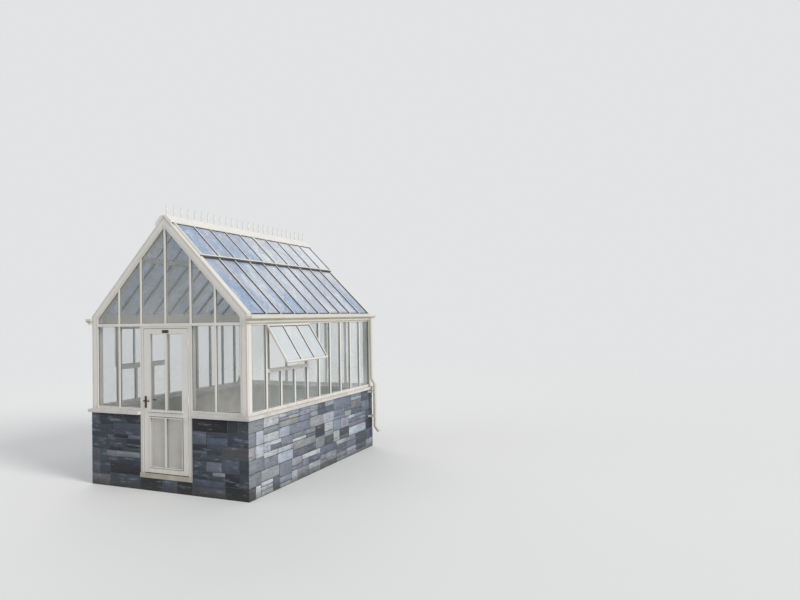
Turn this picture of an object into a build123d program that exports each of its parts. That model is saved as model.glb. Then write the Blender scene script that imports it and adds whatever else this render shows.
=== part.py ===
"""A glass greenhouse with a pitched roof on a dwarf wall of slate.

Millimetres, +Z up. The gable with the door faces -Y, the long walls face -X and +X. The origin is on
the flat underside, in the middle of the plan, which lies at the lowest ground beside the walls.
"""

from build123d import *
import os
from math import cos, radians, sin, tan

# Plan and levels. Heights with "STEP" in their note are measured from the door step.
HALF_W = 1375.0          # middle of the house to the outer faces of the corner posts
LENGTH = 3660.0          # front face to back face of the frame
STEP = 235.0             # door step above the lowest ground, because the ground falls to the back
PITCH = 45.0             # roof pitch in degrees
EAVE = 2195.0            # outer roof plane over the outer face of a post, above STEP
SILL_TOP = 855.0         # top of the sill, above STEP
SIDE_BAYS = 10           # panes along a side
GABLE_BAR = 852.0        # outer gable bar from the middle

# Dwarf wall, sill and floor.
WALL_T = 215.0
WALL_PROUD = 10.0        # wall face outside the post face
SILL_T = 47.0
SILL_OUT = 45.0          # sill nose outside the post face
SILL_IN = 20.0           # sill past the inner face of the wall
SILL_NOSE = 12.0         # radius of the nose
DRIP_W = 10.0
DRIP_D = 6.0
DOOR_STEP_T = 60.0       # stone that the door frame stands on

# Frame members.
POST_W = 115.0
POST_D = 90.0
RAIL_H = 45.0            # base rail on the sill
RAIL_D = 62.0
FRAME_SET = 8.0          # glazing frame behind the post face
ARRIS_R = 5.0            # rounding of a post's outer arris
QUIRK_IN = 16.0          # groove along the edges of posts and rafters, from the arris
QUIRK_W = 7.0
QUIRK_D = 7.0
RAFTER_W = 113.0         # gable rafter, square to the slope
TRANSOM_LOW = 2040.0     # underside of the transom, above STEP
TRANSOM_H = 40.0
TRANSOM_D = 60.0
TRANSOM_OUT = 6.0        # nose of the transom in front of the bars, chamfered on top
BAR_CAP = 36.0           # face width of an upright glazing bar
ROOF_CAP = 26.0          # face width of a roof bar
CAP_T = 16.0             # cap of a bar over the panes
BAR_WEB = 14.0
BAR_DEPTH = 46.0
BAR_EDGE = 5.0           # chamfer along the face of a bar
GLASS_T = 4.0
EAVE_W = 55.0            # eave plate, inwards from the post face

# Ridge.
RIDGE_W = 56.0
RIDGE_H = 130.0
CAP_FLAT = 50.0          # half width of the flat on the ridge capping
CAP_HALF = 142.0         # half width of the whole capping
CAP_LIFT = 36.0          # capping above the roof plane, square to the slope
CAP_SHEET = 8.0
CAP_OVER = 12.0          # capping past the gable faces
STRIP_T = 14.0           # strip that carries the cresting
STRIP_H = 8.0
CREST_T = 12.0
CREST_H = 160.0          # spikes above their strip
SPIKE_FOOT = 14.0        # half widths of a spike
SPIKE_SHAFT = 7.5
SPIKE_ARM = 23.0
SPIKE_HEAD = 11.0
CREST_GAP = 141.6        # from spike to spike
CREST_END = 62.0         # first spike from the gable face

# Roof vents, two sashes on each slope, and the side vents.
VENT_HEAD = 154.5        # upper edge of a roof vent from the ridge, down the slope
VENT_L = 680.0
VENT_LAP = 16.0          # sash past the rail at its lower edge
VENT_T = 26.0
VENT_STILE = 26.0
VENT_RAIL = 24.0
VENT_BAR = 18.0
VENT_GAP = 6.0           # between neighbouring sashes
VENT_END = 52.0          # first sash from the gable face
VENT_SILL = 44.0         # rail under the lower edge of the roof vents
SIDE_VENT_FIRST = 1      # glazing bar at which the side vent starts
SIDE_VENT_BAYS = 3
SIDE_RAIL_H = 50.0
SIDE_LAP = 8.0           # closed side vent past the top of its rail
SIDE_VENT_H = 604.0
SIDE_VENT_TOP = 2030.0   # hinge line, above STEP
SIDE_VENT_OPEN = 32.5    # opening of the right side vent, degrees
SIDE_VENT_T = 26.0
STAY_W = 18.0
STAY_T = 5.0

# Gutters and downpipes.
GUTTER_TOP = 2158.0      # above STEP
GUTTER_W = 100.0
GUTTER_H = 86.0
GUTTER_T = 4.0
GUTTER_LIP = 16.0        # straight part under the rim
GUTTER_FOOT = 44.0       # width of the flat bottom
GUTTER_OGEE = 5.0        # bulge and hollow of the face
GUTTER_OVER = 28.0       # past the gable faces
PIPE_R = 32.5
PIPE_T = 3.0
PIPE_UP = 62.0           # upper pipe axis outside the post face
PIPE_OUT = 122.0         # lower pipe axis outside the post face
PIPE_END = 108.0         # pipe axis from the back face of the frame
NECK_TOP = 1010.0        # above STEP
NECK_LOW = 915.0
SHOE_TOP = 150.0
SHOE_OUT = 70.0
SHOE_LOW = 60.0
BEND_R = 60.0
BRACKET_H = 32.0
BRACKET_T = 4.0
EAR_FOOT = 62.0          # half length of a bracket's foot on the wall
BRACKET_UP = 770.0       # above STEP
BRACKET_LOW = 330.0
COLLAR_T = 4.0           # socket on the downpipe
COLLAR_H = 46.0

# Door.
LEAF_HALF = 391.0
LEAF_LOW = 14.0          # above STEP
LEAF_TOP = 2004.0
LEAF_T = 45.0
LATCH_GAP = 7.0
HINGE_GAP = 5.5
HEAD_GAP = 6.0
JAMB_W = 63.5
JAMB_BAR = 20.0          # gable bar over a jamb, from the jamb's outer face
JAMB_QUIRK = 24.0        # groove down a jamb, from its outer face
FRAME_D = 76.0
STOP_W = 16.0            # stop behind the leaf
STOP_GAP = 5.0
STILE = 114.0
TOP_RAIL = 75.0
LOCK_RAIL_TOP = 885.0    # above STEP
LOCK_RAIL = 117.0
BOTTOM_RAIL = 86.0
MUNTIN = 40.0
PANEL_T = 14.0
PANEL_SET = 18.0         # panel behind the face of the leaf
BEAD_W = 20.0            # moulding planted round the panels
BEAD_T = 8.0
BEAD_EDGE = 5.0
GLAZING_EDGE = 6.0       # chamfer round the door panes
NOSE_H = 34.0            # weather nosing under the door panes
NOSE_T = 15.0
NOSE_OVER = 25.0         # nosing past the panes at both ends
NOSE_FALL = 15.0

# Door furniture.
KNUCKLE_R = 6.0
PIN_R = 3.0
PIN_PLAY = 0.08
KNUCKLE_H = 90.0
KNUCKLE_PLAY = 0.6
PLATE_T = 2.2
PLATE_W = 34.0
HINGE_LOW = 250.0        # above STEP
HINGE_MID = 1040.0
HINGE_TOP = 1830.0
HINGE_PROUD = 6.0        # pin axis in front of the leaf
BACKSET = 31.0           # spindle from the edge of the leaf
HANDLE_Z = 1007.0        # spindle, above STEP
BACKPLATE = (34.0, 168.0, 5.0)
BACKPLATE_DROP = 20.0    # middle of the plate below the spindle
SPINDLE_R = 5.0
SPINDLE_PLAY = 0.1
ROSE_R = 11.0
ROSE_H = 7.0
LEVER_OUT = 46.0         # lever's outer face off the backplate
LEVER_L = 108.0
LEVER_T = 11.0
LEVER_H = 17.0
LEVER_GAP = 0.8          # rose off the backplate

# Values that follow from those above.
FRONT = -LENGTH / 2
BACK = LENGTH / 2
SLOPE = radians(PITCH)
RISE = tan(SLOPE)
EAVE_Z = STEP + EAVE
RIDGE_Z = EAVE_Z + HALF_W * RISE
SILL_Z = STEP + SILL_TOP
WALL_Z = SILL_Z - SILL_T
RAIL_Z = SILL_Z + RAIL_H
TRANSOM_Z = STEP + TRANSOM_LOW
PANE_TOP = -CAP_T
PANE_LOW = -CAP_T - GLASS_T
POST_IN = HALF_W - POST_W
RAFTER_DROP = RAFTER_W / cos(SLOPE)
RAFTER_FOOT = EAVE_Z + POST_W * RISE - RAFTER_DROP
WALL_X = HALF_W + WALL_PROUD
WALL_F = FRONT - WALL_PROUD
WALL_B = BACK + WALL_PROUD
SIDE_FIRST = FRONT + POST_D
SIDE_PITCH = (LENGTH - 2 * POST_D) / SIDE_BAYS
SIDE_BARS = [SIDE_FIRST + SIDE_PITCH * i for i in range(1, SIDE_BAYS)]
FRAME_OUT = LEAF_HALF + HINGE_GAP + JAMB_W
GABLE_BARS = (-GABLE_BAR, JAMB_BAR - FRAME_OUT, 0.0, FRAME_OUT - JAMB_BAR, GABLE_BAR)
BAR_FACE = HALF_W - FRAME_SET
LEAF_FACE = FRONT + FRAME_SET
HINGE_X = LEAF_HALF + HINGE_GAP / 2
HINGE_Y = LEAF_FACE - HINGE_PROUD
JAMB_IN_HINGE = LEAF_HALF + HINGE_GAP
JAMB_IN_LATCH = -LEAF_HALF - LATCH_GAP
HANDLE_X = BACKSET - LEAF_HALF
VENT_UP = HALF_W / cos(SLOPE) - VENT_HEAD
VENT_DOWN = VENT_UP - VENT_L
VENT_RAIL_LOW = VENT_DOWN + VENT_LAP
SIDE_RAIL_TOP = STEP + SIDE_VENT_TOP - SIDE_VENT_H + SIDE_LAP
SIDE_RAIL_LOW = SIDE_RAIL_TOP - SIDE_RAIL_H


# Small helpers for solids from limits and outlines.
def block(x, y, z):
    """A box between two limits along each axis."""
    limits = (sorted(x), sorted(y), sorted(z))
    size = [high - low for low, high in limits]
    middle = [(high + low) / 2 for low, high in limits]
    return Pos(*middle) * Box(*size)


def outline(points):
    """A flat face with straight edges through the points."""
    return make_face(Polyline(*points, close=True))


def along_y(face, low, high):
    """A solid whose outline lies in X and Z."""
    plane = Plane(origin=(0, high, 0), x_dir=(1, 0, 0), z_dir=(0, -1, 0))
    return extrude(plane * face, high - low, dir=(0, -1, 0))


def along_z(face, low, high):
    """A solid whose outline lies in X and Y."""
    return extrude(Pos(0, 0, low) * face, high - low, dir=(0, 0, 1))


def along_x(face, low, high):
    """A solid whose outline lies in Y and Z."""
    plane = Plane(origin=(low, 0, 0), x_dir=(0, 1, 0), z_dir=(1, 0, 0))
    return extrude(plane * face, high - low, dir=(1, 0, 0))


def both_sides(shape):
    """A piece on the right and its mirror image on the left."""
    return [shape, mirror(shape, about=Plane.YZ)]


def mirrored(shape):
    """The same piece on the left."""
    return mirror(shape, about=Plane.YZ)


def on_both(shapes):
    """A row of pieces on the right, and its mirror image on the left."""
    return shapes + [mirrored(shape) for shape in shapes]


def on_slope(shape):
    """Turns a flat piece (X up the slope, Y along the house, Z outwards) onto the right roof slope."""
    plane = Plane(origin=(HALF_W, 0, EAVE_Z), x_dir=(-cos(SLOPE), 0, sin(SLOPE)),
                  z_dir=(sin(SLOPE), 0, cos(SLOPE)))
    return plane * mirror(shape, about=Plane.XZ)


def bar_section(cap):
    """A glazing bar: a chamfered cap over the panes and a web between them."""
    half = cap / 2
    web = BAR_WEB / 2
    return outline([(-half + BAR_EDGE, 0), (half - BAR_EDGE, 0), (half, -BAR_EDGE), (half, -CAP_T),
                    (web, -CAP_T), (web, -BAR_DEPTH), (-web, -BAR_DEPTH), (-web, -CAP_T),
                    (-half, -CAP_T), (-half, -BAR_EDGE)])


def glazing_bar(origin, direction, outward, length):
    """A bar from its origin along a direction, with its cap facing outwards."""
    bar = along_x(bar_section(BAR_CAP), 0, length)
    return Plane(origin=origin, x_dir=direction, z_dir=outward) * bar


def pane_edges(bars, first, last):
    """The clear widths between the webs of the bars, from the first stop to the last."""
    web = BAR_WEB / 2
    lows = [first] + [bar + web for bar in bars]
    highs = [bar - web for bar in bars] + [last]
    return list(zip(lows, highs))


def gable_field(low, drop):
    """The outline of a gable between a level and a line under the roof plane."""
    top = RIDGE_Z - drop
    half = (top - low) / RISE
    return outline([(-half, low), (half, low), (0, top)])


# Masonry.
def floor_slab():
    """Paving between the walls and its bed, down to the level of the wall foot."""
    inner_x = WALL_X - WALL_T
    return block((-inner_x, inner_x), (WALL_F + WALL_T, WALL_B - WALL_T), (0, STEP))


def door_step():
    """The stone under the door frame, between the two ends of the front wall."""
    return block((-FRAME_OUT, FRAME_OUT), (WALL_F, WALL_F + WALL_T), (STEP - DOOR_STEP_T, STEP))


def side_wall():
    return block((WALL_X - WALL_T, WALL_X), (WALL_F, WALL_B), (0, WALL_Z))


def back_wall():
    inner_x = WALL_X - WALL_T
    return block((-inner_x, inner_x), (WALL_B - WALL_T, WALL_B), (0, WALL_Z))


def front_wall():
    """The dwarf wall on both sides of the doorway, joined under the door step."""
    inner_x = WALL_X - WALL_T
    depth = (WALL_F, WALL_F + WALL_T)
    wall = block((-inner_x, inner_x), depth, (0, WALL_Z))
    return wall - block((-FRAME_OUT, FRAME_OUT), depth, (STEP - DOOR_STEP_T, WALL_Z))


def sill_section():
    """A sill seen end on, nose towards +X: rounded nose and a drip groove."""
    out = SILL_OUT
    back = -(WALL_T - WALL_PROUD + SILL_IN)
    drip = (WALL_PROUD + SILL_OUT) / 2
    body = outline([(back, 0), (out, 0), (out, SILL_T), (back, SILL_T)])
    groove = Pos(drip, DRIP_D / 2) * Rectangle(DRIP_W, DRIP_D)
    nose = body.vertices().group_by(Axis.X)[-1].sort_by(Axis.Y)[-1]
    return fillet(nose, SILL_NOSE) - groove


def mitre_plan(low, high, start_mitre, end_mitre):
    """Plan of a run along Y with its nose towards +X and 45 degree mitres where asked."""
    out = SILL_OUT
    back = -(WALL_T - WALL_PROUD + SILL_IN)
    return outline([(out, low - (out if start_mitre else 0)), (out, high + (out if end_mitre else 0)),
                    (back, high + (back if end_mitre else 0)), (back, low - (back if start_mitre else 0))])


def sill_run(low, high, start_mitre, end_mitre):
    """A straight sill along Y whose x = 0 is the face of the posts and z = 0 its underside."""
    long = along_y(sill_section(), low - 2 * WALL_T, high + 2 * WALL_T)
    return long & along_z(mitre_plan(low, high, start_mitre, end_mitre), -1, SILL_T + 1)


def side_sill():
    return Pos(HALF_W, 0, WALL_Z) * sill_run(FRONT, BACK, True, True)


def back_sill():
    run = Rot(0, 0, 90) * sill_run(-HALF_W, HALF_W, True, True)
    return Pos(0, BACK, WALL_Z) * run


def front_sill():
    """The sill to the right of the doorway, from the door frame to the mitre."""
    run = Rot(0, 0, -90) * sill_run(FRAME_OUT, HALF_W, False, True)
    return Pos(0, FRONT, WALL_Z) * run


# Frame of the long sides.
def quirk(edge):
    """The two limits of a groove, on the inner side of an edge."""
    inner = edge - QUIRK_IN
    return inner - QUIRK_W, inner


def corner_post():
    """The front right post, its outer arris rounded and set off by a groove on both faces."""
    plan = outline([(POST_IN, FRONT), (HALF_W, FRONT), (HALF_W, SIDE_FIRST), (POST_IN, SIDE_FIRST)])
    arris = plan.vertices().group_by(Axis.X)[-1].sort_by(Axis.Y)[0]
    plan = fillet(arris, ARRIS_R)
    post = along_z(plan, SILL_Z, RAFTER_FOOT)
    levels = (SILL_Z, RAFTER_FOOT)
    post -= block(quirk(HALF_W), (FRONT, FRONT + QUIRK_D), levels)
    post -= block(quirk(POST_IN + 2 * QUIRK_IN + QUIRK_W), (FRONT, FRONT + QUIRK_D), levels)
    side = quirk(FRONT + 2 * QUIRK_IN + QUIRK_W)
    return post - block((HALF_W - QUIRK_D, HALF_W), side, levels)


def eave_section():
    """The eave plate: the panes lie on its sloping top, the gutter hangs on its face."""
    inner = HALF_W - EAVE_W
    top = EAVE_Z + PANE_LOW / cos(SLOPE)
    return outline([(inner, TRANSOM_Z), (HALF_W, TRANSOM_Z), (HALF_W, top), (inner, top + EAVE_W * RISE)])


def eave_plate():
    return along_y(eave_section(), SIDE_FIRST, -SIDE_FIRST)


def base_rail_side():
    return block((BAR_FACE - RAIL_D, BAR_FACE), (SIDE_FIRST, -SIDE_FIRST), (SILL_Z, RAIL_Z))


def base_rail_gable(low, high):
    """A rail on the sill of the front gable."""
    return block((low, high), (LEAF_FACE, LEAF_FACE + RAIL_D), (SILL_Z, RAIL_Z))


def vent_bars():
    """The places of the bars at both sides of the side vent and of those between them."""
    first = SIDE_VENT_FIRST - 1
    return SIDE_BARS[first:first + SIDE_VENT_BAYS + 1]


def side_bars():
    """Upright bars of the right side, those under the vent stopping at its rail."""
    inside = vent_bars()[1:-1]
    bars = []
    for y in SIDE_BARS:
        top = SIDE_RAIL_LOW if y in inside else TRANSOM_Z
        bars.append(glazing_bar((BAR_FACE, y, RAIL_Z), (0, 0, 1), (1, 0, 0), top - RAIL_Z))
    return bars


def side_vent_rail():
    """The rail that the side vent closes on, notched round the caps of the bars at its ends."""
    ends = vent_bars()
    web, cap = BAR_WEB / 2, BAR_CAP / 2
    levels = (SIDE_RAIL_LOW, SIDE_RAIL_TOP)
    rail = block((BAR_FACE - BAR_DEPTH, BAR_FACE - CAP_T), (ends[0] + web, ends[-1] - web), levels)
    return rail + block((BAR_FACE - CAP_T, BAR_FACE), (ends[0] + cap, ends[-1] - cap), levels)


def side_panes():
    """Panes of the right side, with the bays of the vent glazed only under its rail."""
    low_bar, high_bar = vent_bars()[0], vent_bars()[-1]
    panes = []
    for low, high in pane_edges(SIDE_BARS, SIDE_FIRST, -SIDE_FIRST):
        in_vent = low > low_bar and high < high_bar
        top = SIDE_RAIL_LOW if in_vent else TRANSOM_Z
        panes.append(block((BAR_FACE + PANE_LOW, BAR_FACE + PANE_TOP), (low, high), (RAIL_Z, top)))
    return panes


# Gables.
def rafter_band(near, far, half):
    """A band along both slopes between two depths under the roof plane, to a half width."""
    over = RIDGE_Z - near / cos(SLOPE)
    under = RIDGE_Z - far / cos(SLOPE)
    fall = half * RISE
    return outline([(-half, over - fall), (0, over), (half, over - fall), (half, under - fall),
                    (0, under), (-half, under - fall)])


def gable_rafters():
    """Both rafters of the front gable in one frame on the posts, grooved along both edges."""
    foot = RAFTER_FOOT
    inner_top = RIDGE_Z - RAFTER_DROP
    face = outline([(-HALF_W, foot), (-HALF_W, EAVE_Z), (0, RIDGE_Z), (HALF_W, EAVE_Z), (HALF_W, foot),
                    (POST_IN, foot), (0, inner_top), (-POST_IN, foot)])
    rafters = along_y(face, FRONT, SIDE_FIRST)
    low, high = quirk(HALF_W)
    depth = (FRONT, FRONT + QUIRK_D)
    rafters -= along_y(rafter_band(QUIRK_IN, QUIRK_IN + QUIRK_W, high), *depth)
    rafters -= along_y(rafter_band(RAFTER_W - QUIRK_IN - QUIRK_W, RAFTER_W - QUIRK_IN, high), *depth)
    meet = RIDGE_Z - QUIRK_IN / cos(SLOPE) - high * RISE
    return rafters - both_sides(block((low, high), depth, (foot, meet)))


def gable_transom():
    """The transom between the posts, its nose chamfered to shed water."""
    face, low, high = LEAF_FACE - TRANSOM_OUT, TRANSOM_Z, TRANSOM_Z + TRANSOM_H
    section = outline([(face, low), (LEAF_FACE + TRANSOM_D, low), (LEAF_FACE + TRANSOM_D, high),
                       (LEAF_FACE, high), (face, high - TRANSOM_OUT)])
    return along_x(section, -POST_IN, POST_IN)


def gable_bars_over():
    """Bars from the transom up to the rafters."""
    low = TRANSOM_Z + TRANSOM_H
    field = along_y(gable_field(low, RAFTER_DROP), FRONT, FRONT + LENGTH / 4)
    bars = [glazing_bar((x, LEAF_FACE, low), (0, 0, 1), (0, -1, 0), RIDGE_Z - low) for x in GABLE_BARS]
    return [bar & field for bar in bars]


def gable_bars_under(places):
    return [glazing_bar((x, LEAF_FACE, RAIL_Z), (0, 0, 1), (0, -1, 0), TRANSOM_Z - RAIL_Z) for x in places]


def gable_panes_over():
    low = TRANSOM_Z + TRANSOM_H
    field = along_y(gable_field(low, RAFTER_DROP), FRONT, FRONT + LENGTH / 4)
    edges = pane_edges(GABLE_BARS, -POST_IN, POST_IN)
    depth = (LEAF_FACE - PANE_TOP, LEAF_FACE - PANE_LOW)
    return [block(edge, depth, (low, RIDGE_Z)) & field for edge in edges]


def gable_panes_under(edges):
    depth = (LEAF_FACE - PANE_TOP, LEAF_FACE - PANE_LOW)
    return [block(edge, depth, (RAIL_Z, TRANSOM_Z)) for edge in edges]


def to_back(shape):
    """A piece of the front gable, turned to the back gable."""
    return Rot(0, 0, 180) * shape


# Roof.
def ridge_beam():
    """The beam under the ridge, its top bevelled to the roof plane."""
    half = RIDGE_W / 2
    shoulder = RIDGE_Z - half * RISE
    low = RIDGE_Z - RIDGE_H
    face = outline([(-half, low), (half, low), (half, shoulder), (0, RIDGE_Z), (-half, shoulder)])
    return along_y(face, SIDE_FIRST, -SIDE_FIRST)


def ridge_outline(lift):
    """Right half of the line of the capping at a lift above the roof plane, flat to edge."""
    up = lift / cos(SLOPE)
    flat_z = RIDGE_Z + up - CAP_FLAT * RISE
    edge_z = RIDGE_Z + up - CAP_HALF * RISE
    return [(CAP_FLAT, flat_z), (CAP_HALF, edge_z)]


def ridge_capping():
    """Folded capping with a flat top, carried on a rib over the beam and closed at both ends."""
    over = ridge_outline(CAP_LIFT)
    under = ridge_outline(CAP_LIFT - CAP_SHEET)
    on_roof = ridge_outline(0)
    half = RIDGE_W / 2
    flat_under = under[0][1]
    shoulder = RIDGE_Z - half * RISE
    right = [over[0], over[1], under[1], under[0], (half, flat_under), (half, shoulder)]
    left = [(-x, z) for x, z in reversed(right)]
    skin = along_y(outline(right + [(0, RIDGE_Z)] + left), FRONT, BACK)
    plug = [over[0], over[1], on_roof[1]]
    plug_face = outline(plug + [(0, RIDGE_Z)] + [(-x, z) for x, z in reversed(plug)])
    front_end = along_y(plug_face, FRONT - CAP_OVER, FRONT)
    flat_z = over[0][1]
    strip = block((-STRIP_T / 2, STRIP_T / 2), (FRONT, BACK), (flat_z, flat_z + STRIP_H))
    return skin + front_end + to_back(front_end) + strip


def spike():
    """One spike of the cresting in Y and Z: a spear head over a cross piece, a shaft and a foot."""
    h = CREST_H
    half = [(SPIKE_FOOT, 0), (SPIKE_SHAFT, 0.1 * h), (SPIKE_SHAFT, 0.4 * h), (SPIKE_ARM, 0.47 * h),
            (SPIKE_ARM, 0.53 * h), (SPIKE_HEAD, 0.6 * h), (SPIKE_SHAFT, 0.82 * h), (0, h)]
    return outline(half + [(-y, z) for y, z in reversed(half[:-1])])


def ridge_cresting():
    """Spikes on the strip along the capping, evenly spaced."""
    foot = ridge_outline(CAP_LIFT)[0][1] + STRIP_H
    start = FRONT + CREST_END
    count = int((LENGTH - 2 * CREST_END) / CREST_GAP + 0.5) + 1
    gap = (LENGTH - 2 * CREST_END) / (count - 1)
    one = along_x(spike(), -CREST_T / 2, CREST_T / 2)
    return [Pos(0, start + gap * i, foot) * one for i in range(count)]


def middle_bar():
    return SIDE_BARS[len(SIDE_BARS) // 2]


def middle_roof_bar():
    """The bar between the two vents, from eave to ridge."""
    top_u = (HALF_W - RIDGE_W / 2) / cos(SLOPE)
    return on_slope(Pos(0, middle_bar(), 0) * along_x(bar_section(ROOF_CAP), 0, top_u))


def roof_bars():
    """Bars of the right slope, up to the rail under the vents, the middle one on to the ridge."""
    plate = eave_plate()
    bars = []
    for y in SIDE_BARS:
        short = on_slope(Pos(0, y, 0) * along_x(bar_section(ROOF_CAP), 0, VENT_RAIL_LOW))
        bar = middle_roof_bar() if y == middle_bar() else short
        bars.append(bar - plate)
    return bars


def beam_cut():
    """Everything past the side of the ridge beam, to cut what leans on it."""
    half = RIDGE_W / 2
    return block((-half, half), (FRONT, BACK), (STEP, RIDGE_Z + STEP))


def vent_rails():
    """Rails under the lower edge of the roof vents, one on each side of the middle bar."""
    web = BAR_WEB / 2
    spans = [(SIDE_FIRST, middle_bar() - web), (middle_bar() + web, -SIDE_FIRST)]
    rails = []
    for low, high in spans:
        rail = block((VENT_RAIL_LOW, VENT_RAIL_LOW + VENT_SILL), (low, high), (-BAR_DEPTH, 0))
        rails.append(on_slope(rail) - middle_roof_bar())
    return rails


def roof_panes():
    """Panes of the right slope from the eave plate to the rail under the vents."""
    panes = []
    for low, high in pane_edges(SIDE_BARS, SIDE_FIRST, -SIDE_FIRST):
        panes.append(on_slope(block((0, VENT_RAIL_LOW), (low, high), (PANE_LOW, PANE_TOP))))
    return panes


def vent_spans():
    """The two roof sashes along the house."""
    return [(FRONT + VENT_END, middle_bar() - VENT_GAP / 2), (middle_bar() + VENT_GAP / 2, BACK - VENT_END)]


def sash(u, y, bars, thick):
    """A glazed sash lying flat: a frame with bars, and its panes halfway down."""
    low_u, high_u = u
    low_y, high_y = y
    inner_u = (low_u + VENT_RAIL, high_u - VENT_STILE)
    inner_y = (low_y + VENT_STILE, high_y - VENT_STILE)
    frame = block(u, y, (0, thick)) - block(inner_u, inner_y, (-1, thick + 1))
    half = VENT_BAR / 2
    frame += [block(inner_u, (bar - half, bar + half), (0, thick)) for bar in bars]
    lows = [inner_y[0]] + [bar + half for bar in bars]
    highs = [bar - half for bar in bars] + [inner_y[1]]
    middle = thick / 2
    depth = (middle - GLASS_T / 2, middle + GLASS_T / 2)
    panes = [block(inner_u, edge, depth) for edge in zip(lows, highs)]
    return frame, panes


def roof_vents():
    """Both sashes of the right slope and their panes."""
    frames = []
    panes = []
    for low, high in vent_spans():
        bars = [y for y in SIDE_BARS if low + VENT_STILE < y - VENT_BAR and y + VENT_BAR < high - VENT_STILE]
        frame, glass = sash((VENT_DOWN, VENT_UP), (low, high), bars, VENT_T)
        frames.append(on_slope(frame))
        panes += [on_slope(pane) for pane in glass]
    return frames, panes


# Side vents.
def side_vent():
    """The sash of a side vent, hanging down from its hinge line with its outer face towards +X."""
    ends = vent_bars()
    low = ends[0] - BAR_CAP / 2
    high = ends[-1] + BAR_CAP / 2
    frame, panes = sash((0, SIDE_VENT_H), (low, high), ends[1:-1], SIDE_VENT_T)
    hang = Plane(origin=(0, 0, -SIDE_VENT_H), x_dir=(0, 0, 1), z_dir=(1, 0, 0))

    def stand(shape):
        return hang * mirror(shape, about=Plane.XZ)

    return stand(frame), [stand(pane) for pane in panes]


def place_side_vent(shape, opening):
    """Hangs a sash on the right side, opened outwards by some degrees."""
    return Pos(BAR_FACE, 0, STEP + SIDE_VENT_TOP) * Rot(0, -opening, 0) * shape


# Gutters and downpipes.
def gutter_section(inset, top):
    """An ogee gutter seen end on, drawn in by an inset, with x = 0 at its back and z = 0 at its rim."""
    right = GUTTER_W - inset
    bottom = inset - GUTTER_H
    shoulder = Vector(right, -GUTTER_LIP)
    foot = Vector(GUTTER_FOOT, bottom)
    middle = (shoulder + foot) / 2
    bulge = Vector(GUTTER_OGEE, -GUTTER_OGEE)
    upper = ThreePointArc(shoulder, (shoulder + middle) / 2 + bulge, middle)
    lower = ThreePointArc(middle, (middle + foot) / 2 - bulge, foot)
    flats = Polyline(foot, (inset, bottom), (inset, top), (right, top), shoulder)
    return make_face(Wire(flats.edges() + [upper.edge(), lower.edge()]))


def gutter():
    """The right gutter: an ogee channel, open at the top, closed at both ends."""
    low, high = FRONT - GUTTER_OVER, BACK + GUTTER_OVER
    body = along_y(gutter_section(0, 0), low, high)
    body -= along_y(gutter_section(GUTTER_T, GUTTER_T), low + GUTTER_T, high - GUTTER_T)
    return Pos(HALF_W, 0, STEP + GUTTER_TOP) * body


def downpipe():
    """A round pipe from the gutter, with a swan neck over the sill, a socket and a hollow, mitred shoe."""
    y = BACK - PIPE_END
    upper, lower = HALF_W + PIPE_UP, HALF_W + PIPE_OUT
    neck_high = STEP + NECK_TOP + BEND_R
    neck_low = STEP + NECK_LOW - BEND_R
    bends = [(upper, y, neck_high), (upper, y, STEP + NECK_TOP), (lower, y, STEP + NECK_LOW), (lower, y, neck_low)]
    down = Plane(origin=bends[0], z_dir=(0, 0, -1))
    neck = sweep(down * Circle(PIPE_R), path=FilletPolyline(*bends, radius=BEND_R))
    head = along_z(Pos(upper, y) * Circle(PIPE_R), neck_high, STEP + GUTTER_TOP - GUTTER_H / 2)
    channel = along_y(gutter_section(0, 0), y - 2 * PIPE_R, y + 2 * PIPE_R)
    head -= Pos(HALF_W, 0, STEP + GUTTER_TOP) * channel
    elbow = Vector(lower, y, STEP + SHOE_TOP)
    mouth = Vector(lower + SHOE_OUT, y, STEP + SHOE_LOW)
    down = Plane(origin=bends[-1], z_dir=(0, 0, -1))
    foot = sweep(down * Circle(PIPE_R), path=Polyline(bends[-1], elbow, mouth), transition=Transition.RIGHT)
    foot -= extrude(Plane(origin=mouth, z_dir=mouth - elbow) * Circle(PIPE_R - PIPE_T), -SHOE_OUT * 0.6)
    socket = along_z(Pos(lower, y) * Circle(PIPE_R + COLLAR_T), neck_low - COLLAR_H, neck_low)
    return head + neck + foot + socket


def pipe_bracket(level):
    """Two ears that hold the pipe to the wall, with a flat foot on the wall."""
    y = BACK - PIPE_END
    x = HALF_W + PIPE_OUT
    z = STEP + level
    high = (-BRACKET_H / 2, BRACKET_H / 2)
    outer, inner = PIPE_R + 2 * BRACKET_T, PIPE_R - BRACKET_T
    ears = block((WALL_X - x, 0), (-outer, outer), high)
    ears -= block((WALL_X - x + BRACKET_T, 0), (-inner, inner), (-BRACKET_H, BRACKET_H))
    ears -= Cylinder(PIPE_R, BRACKET_H + 2)
    foot = block((WALL_X - x, WALL_X - x + BRACKET_T), (-EAR_FOOT, EAR_FOOT), high)
    return Pos(x, y, z) * (ears + foot)


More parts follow.
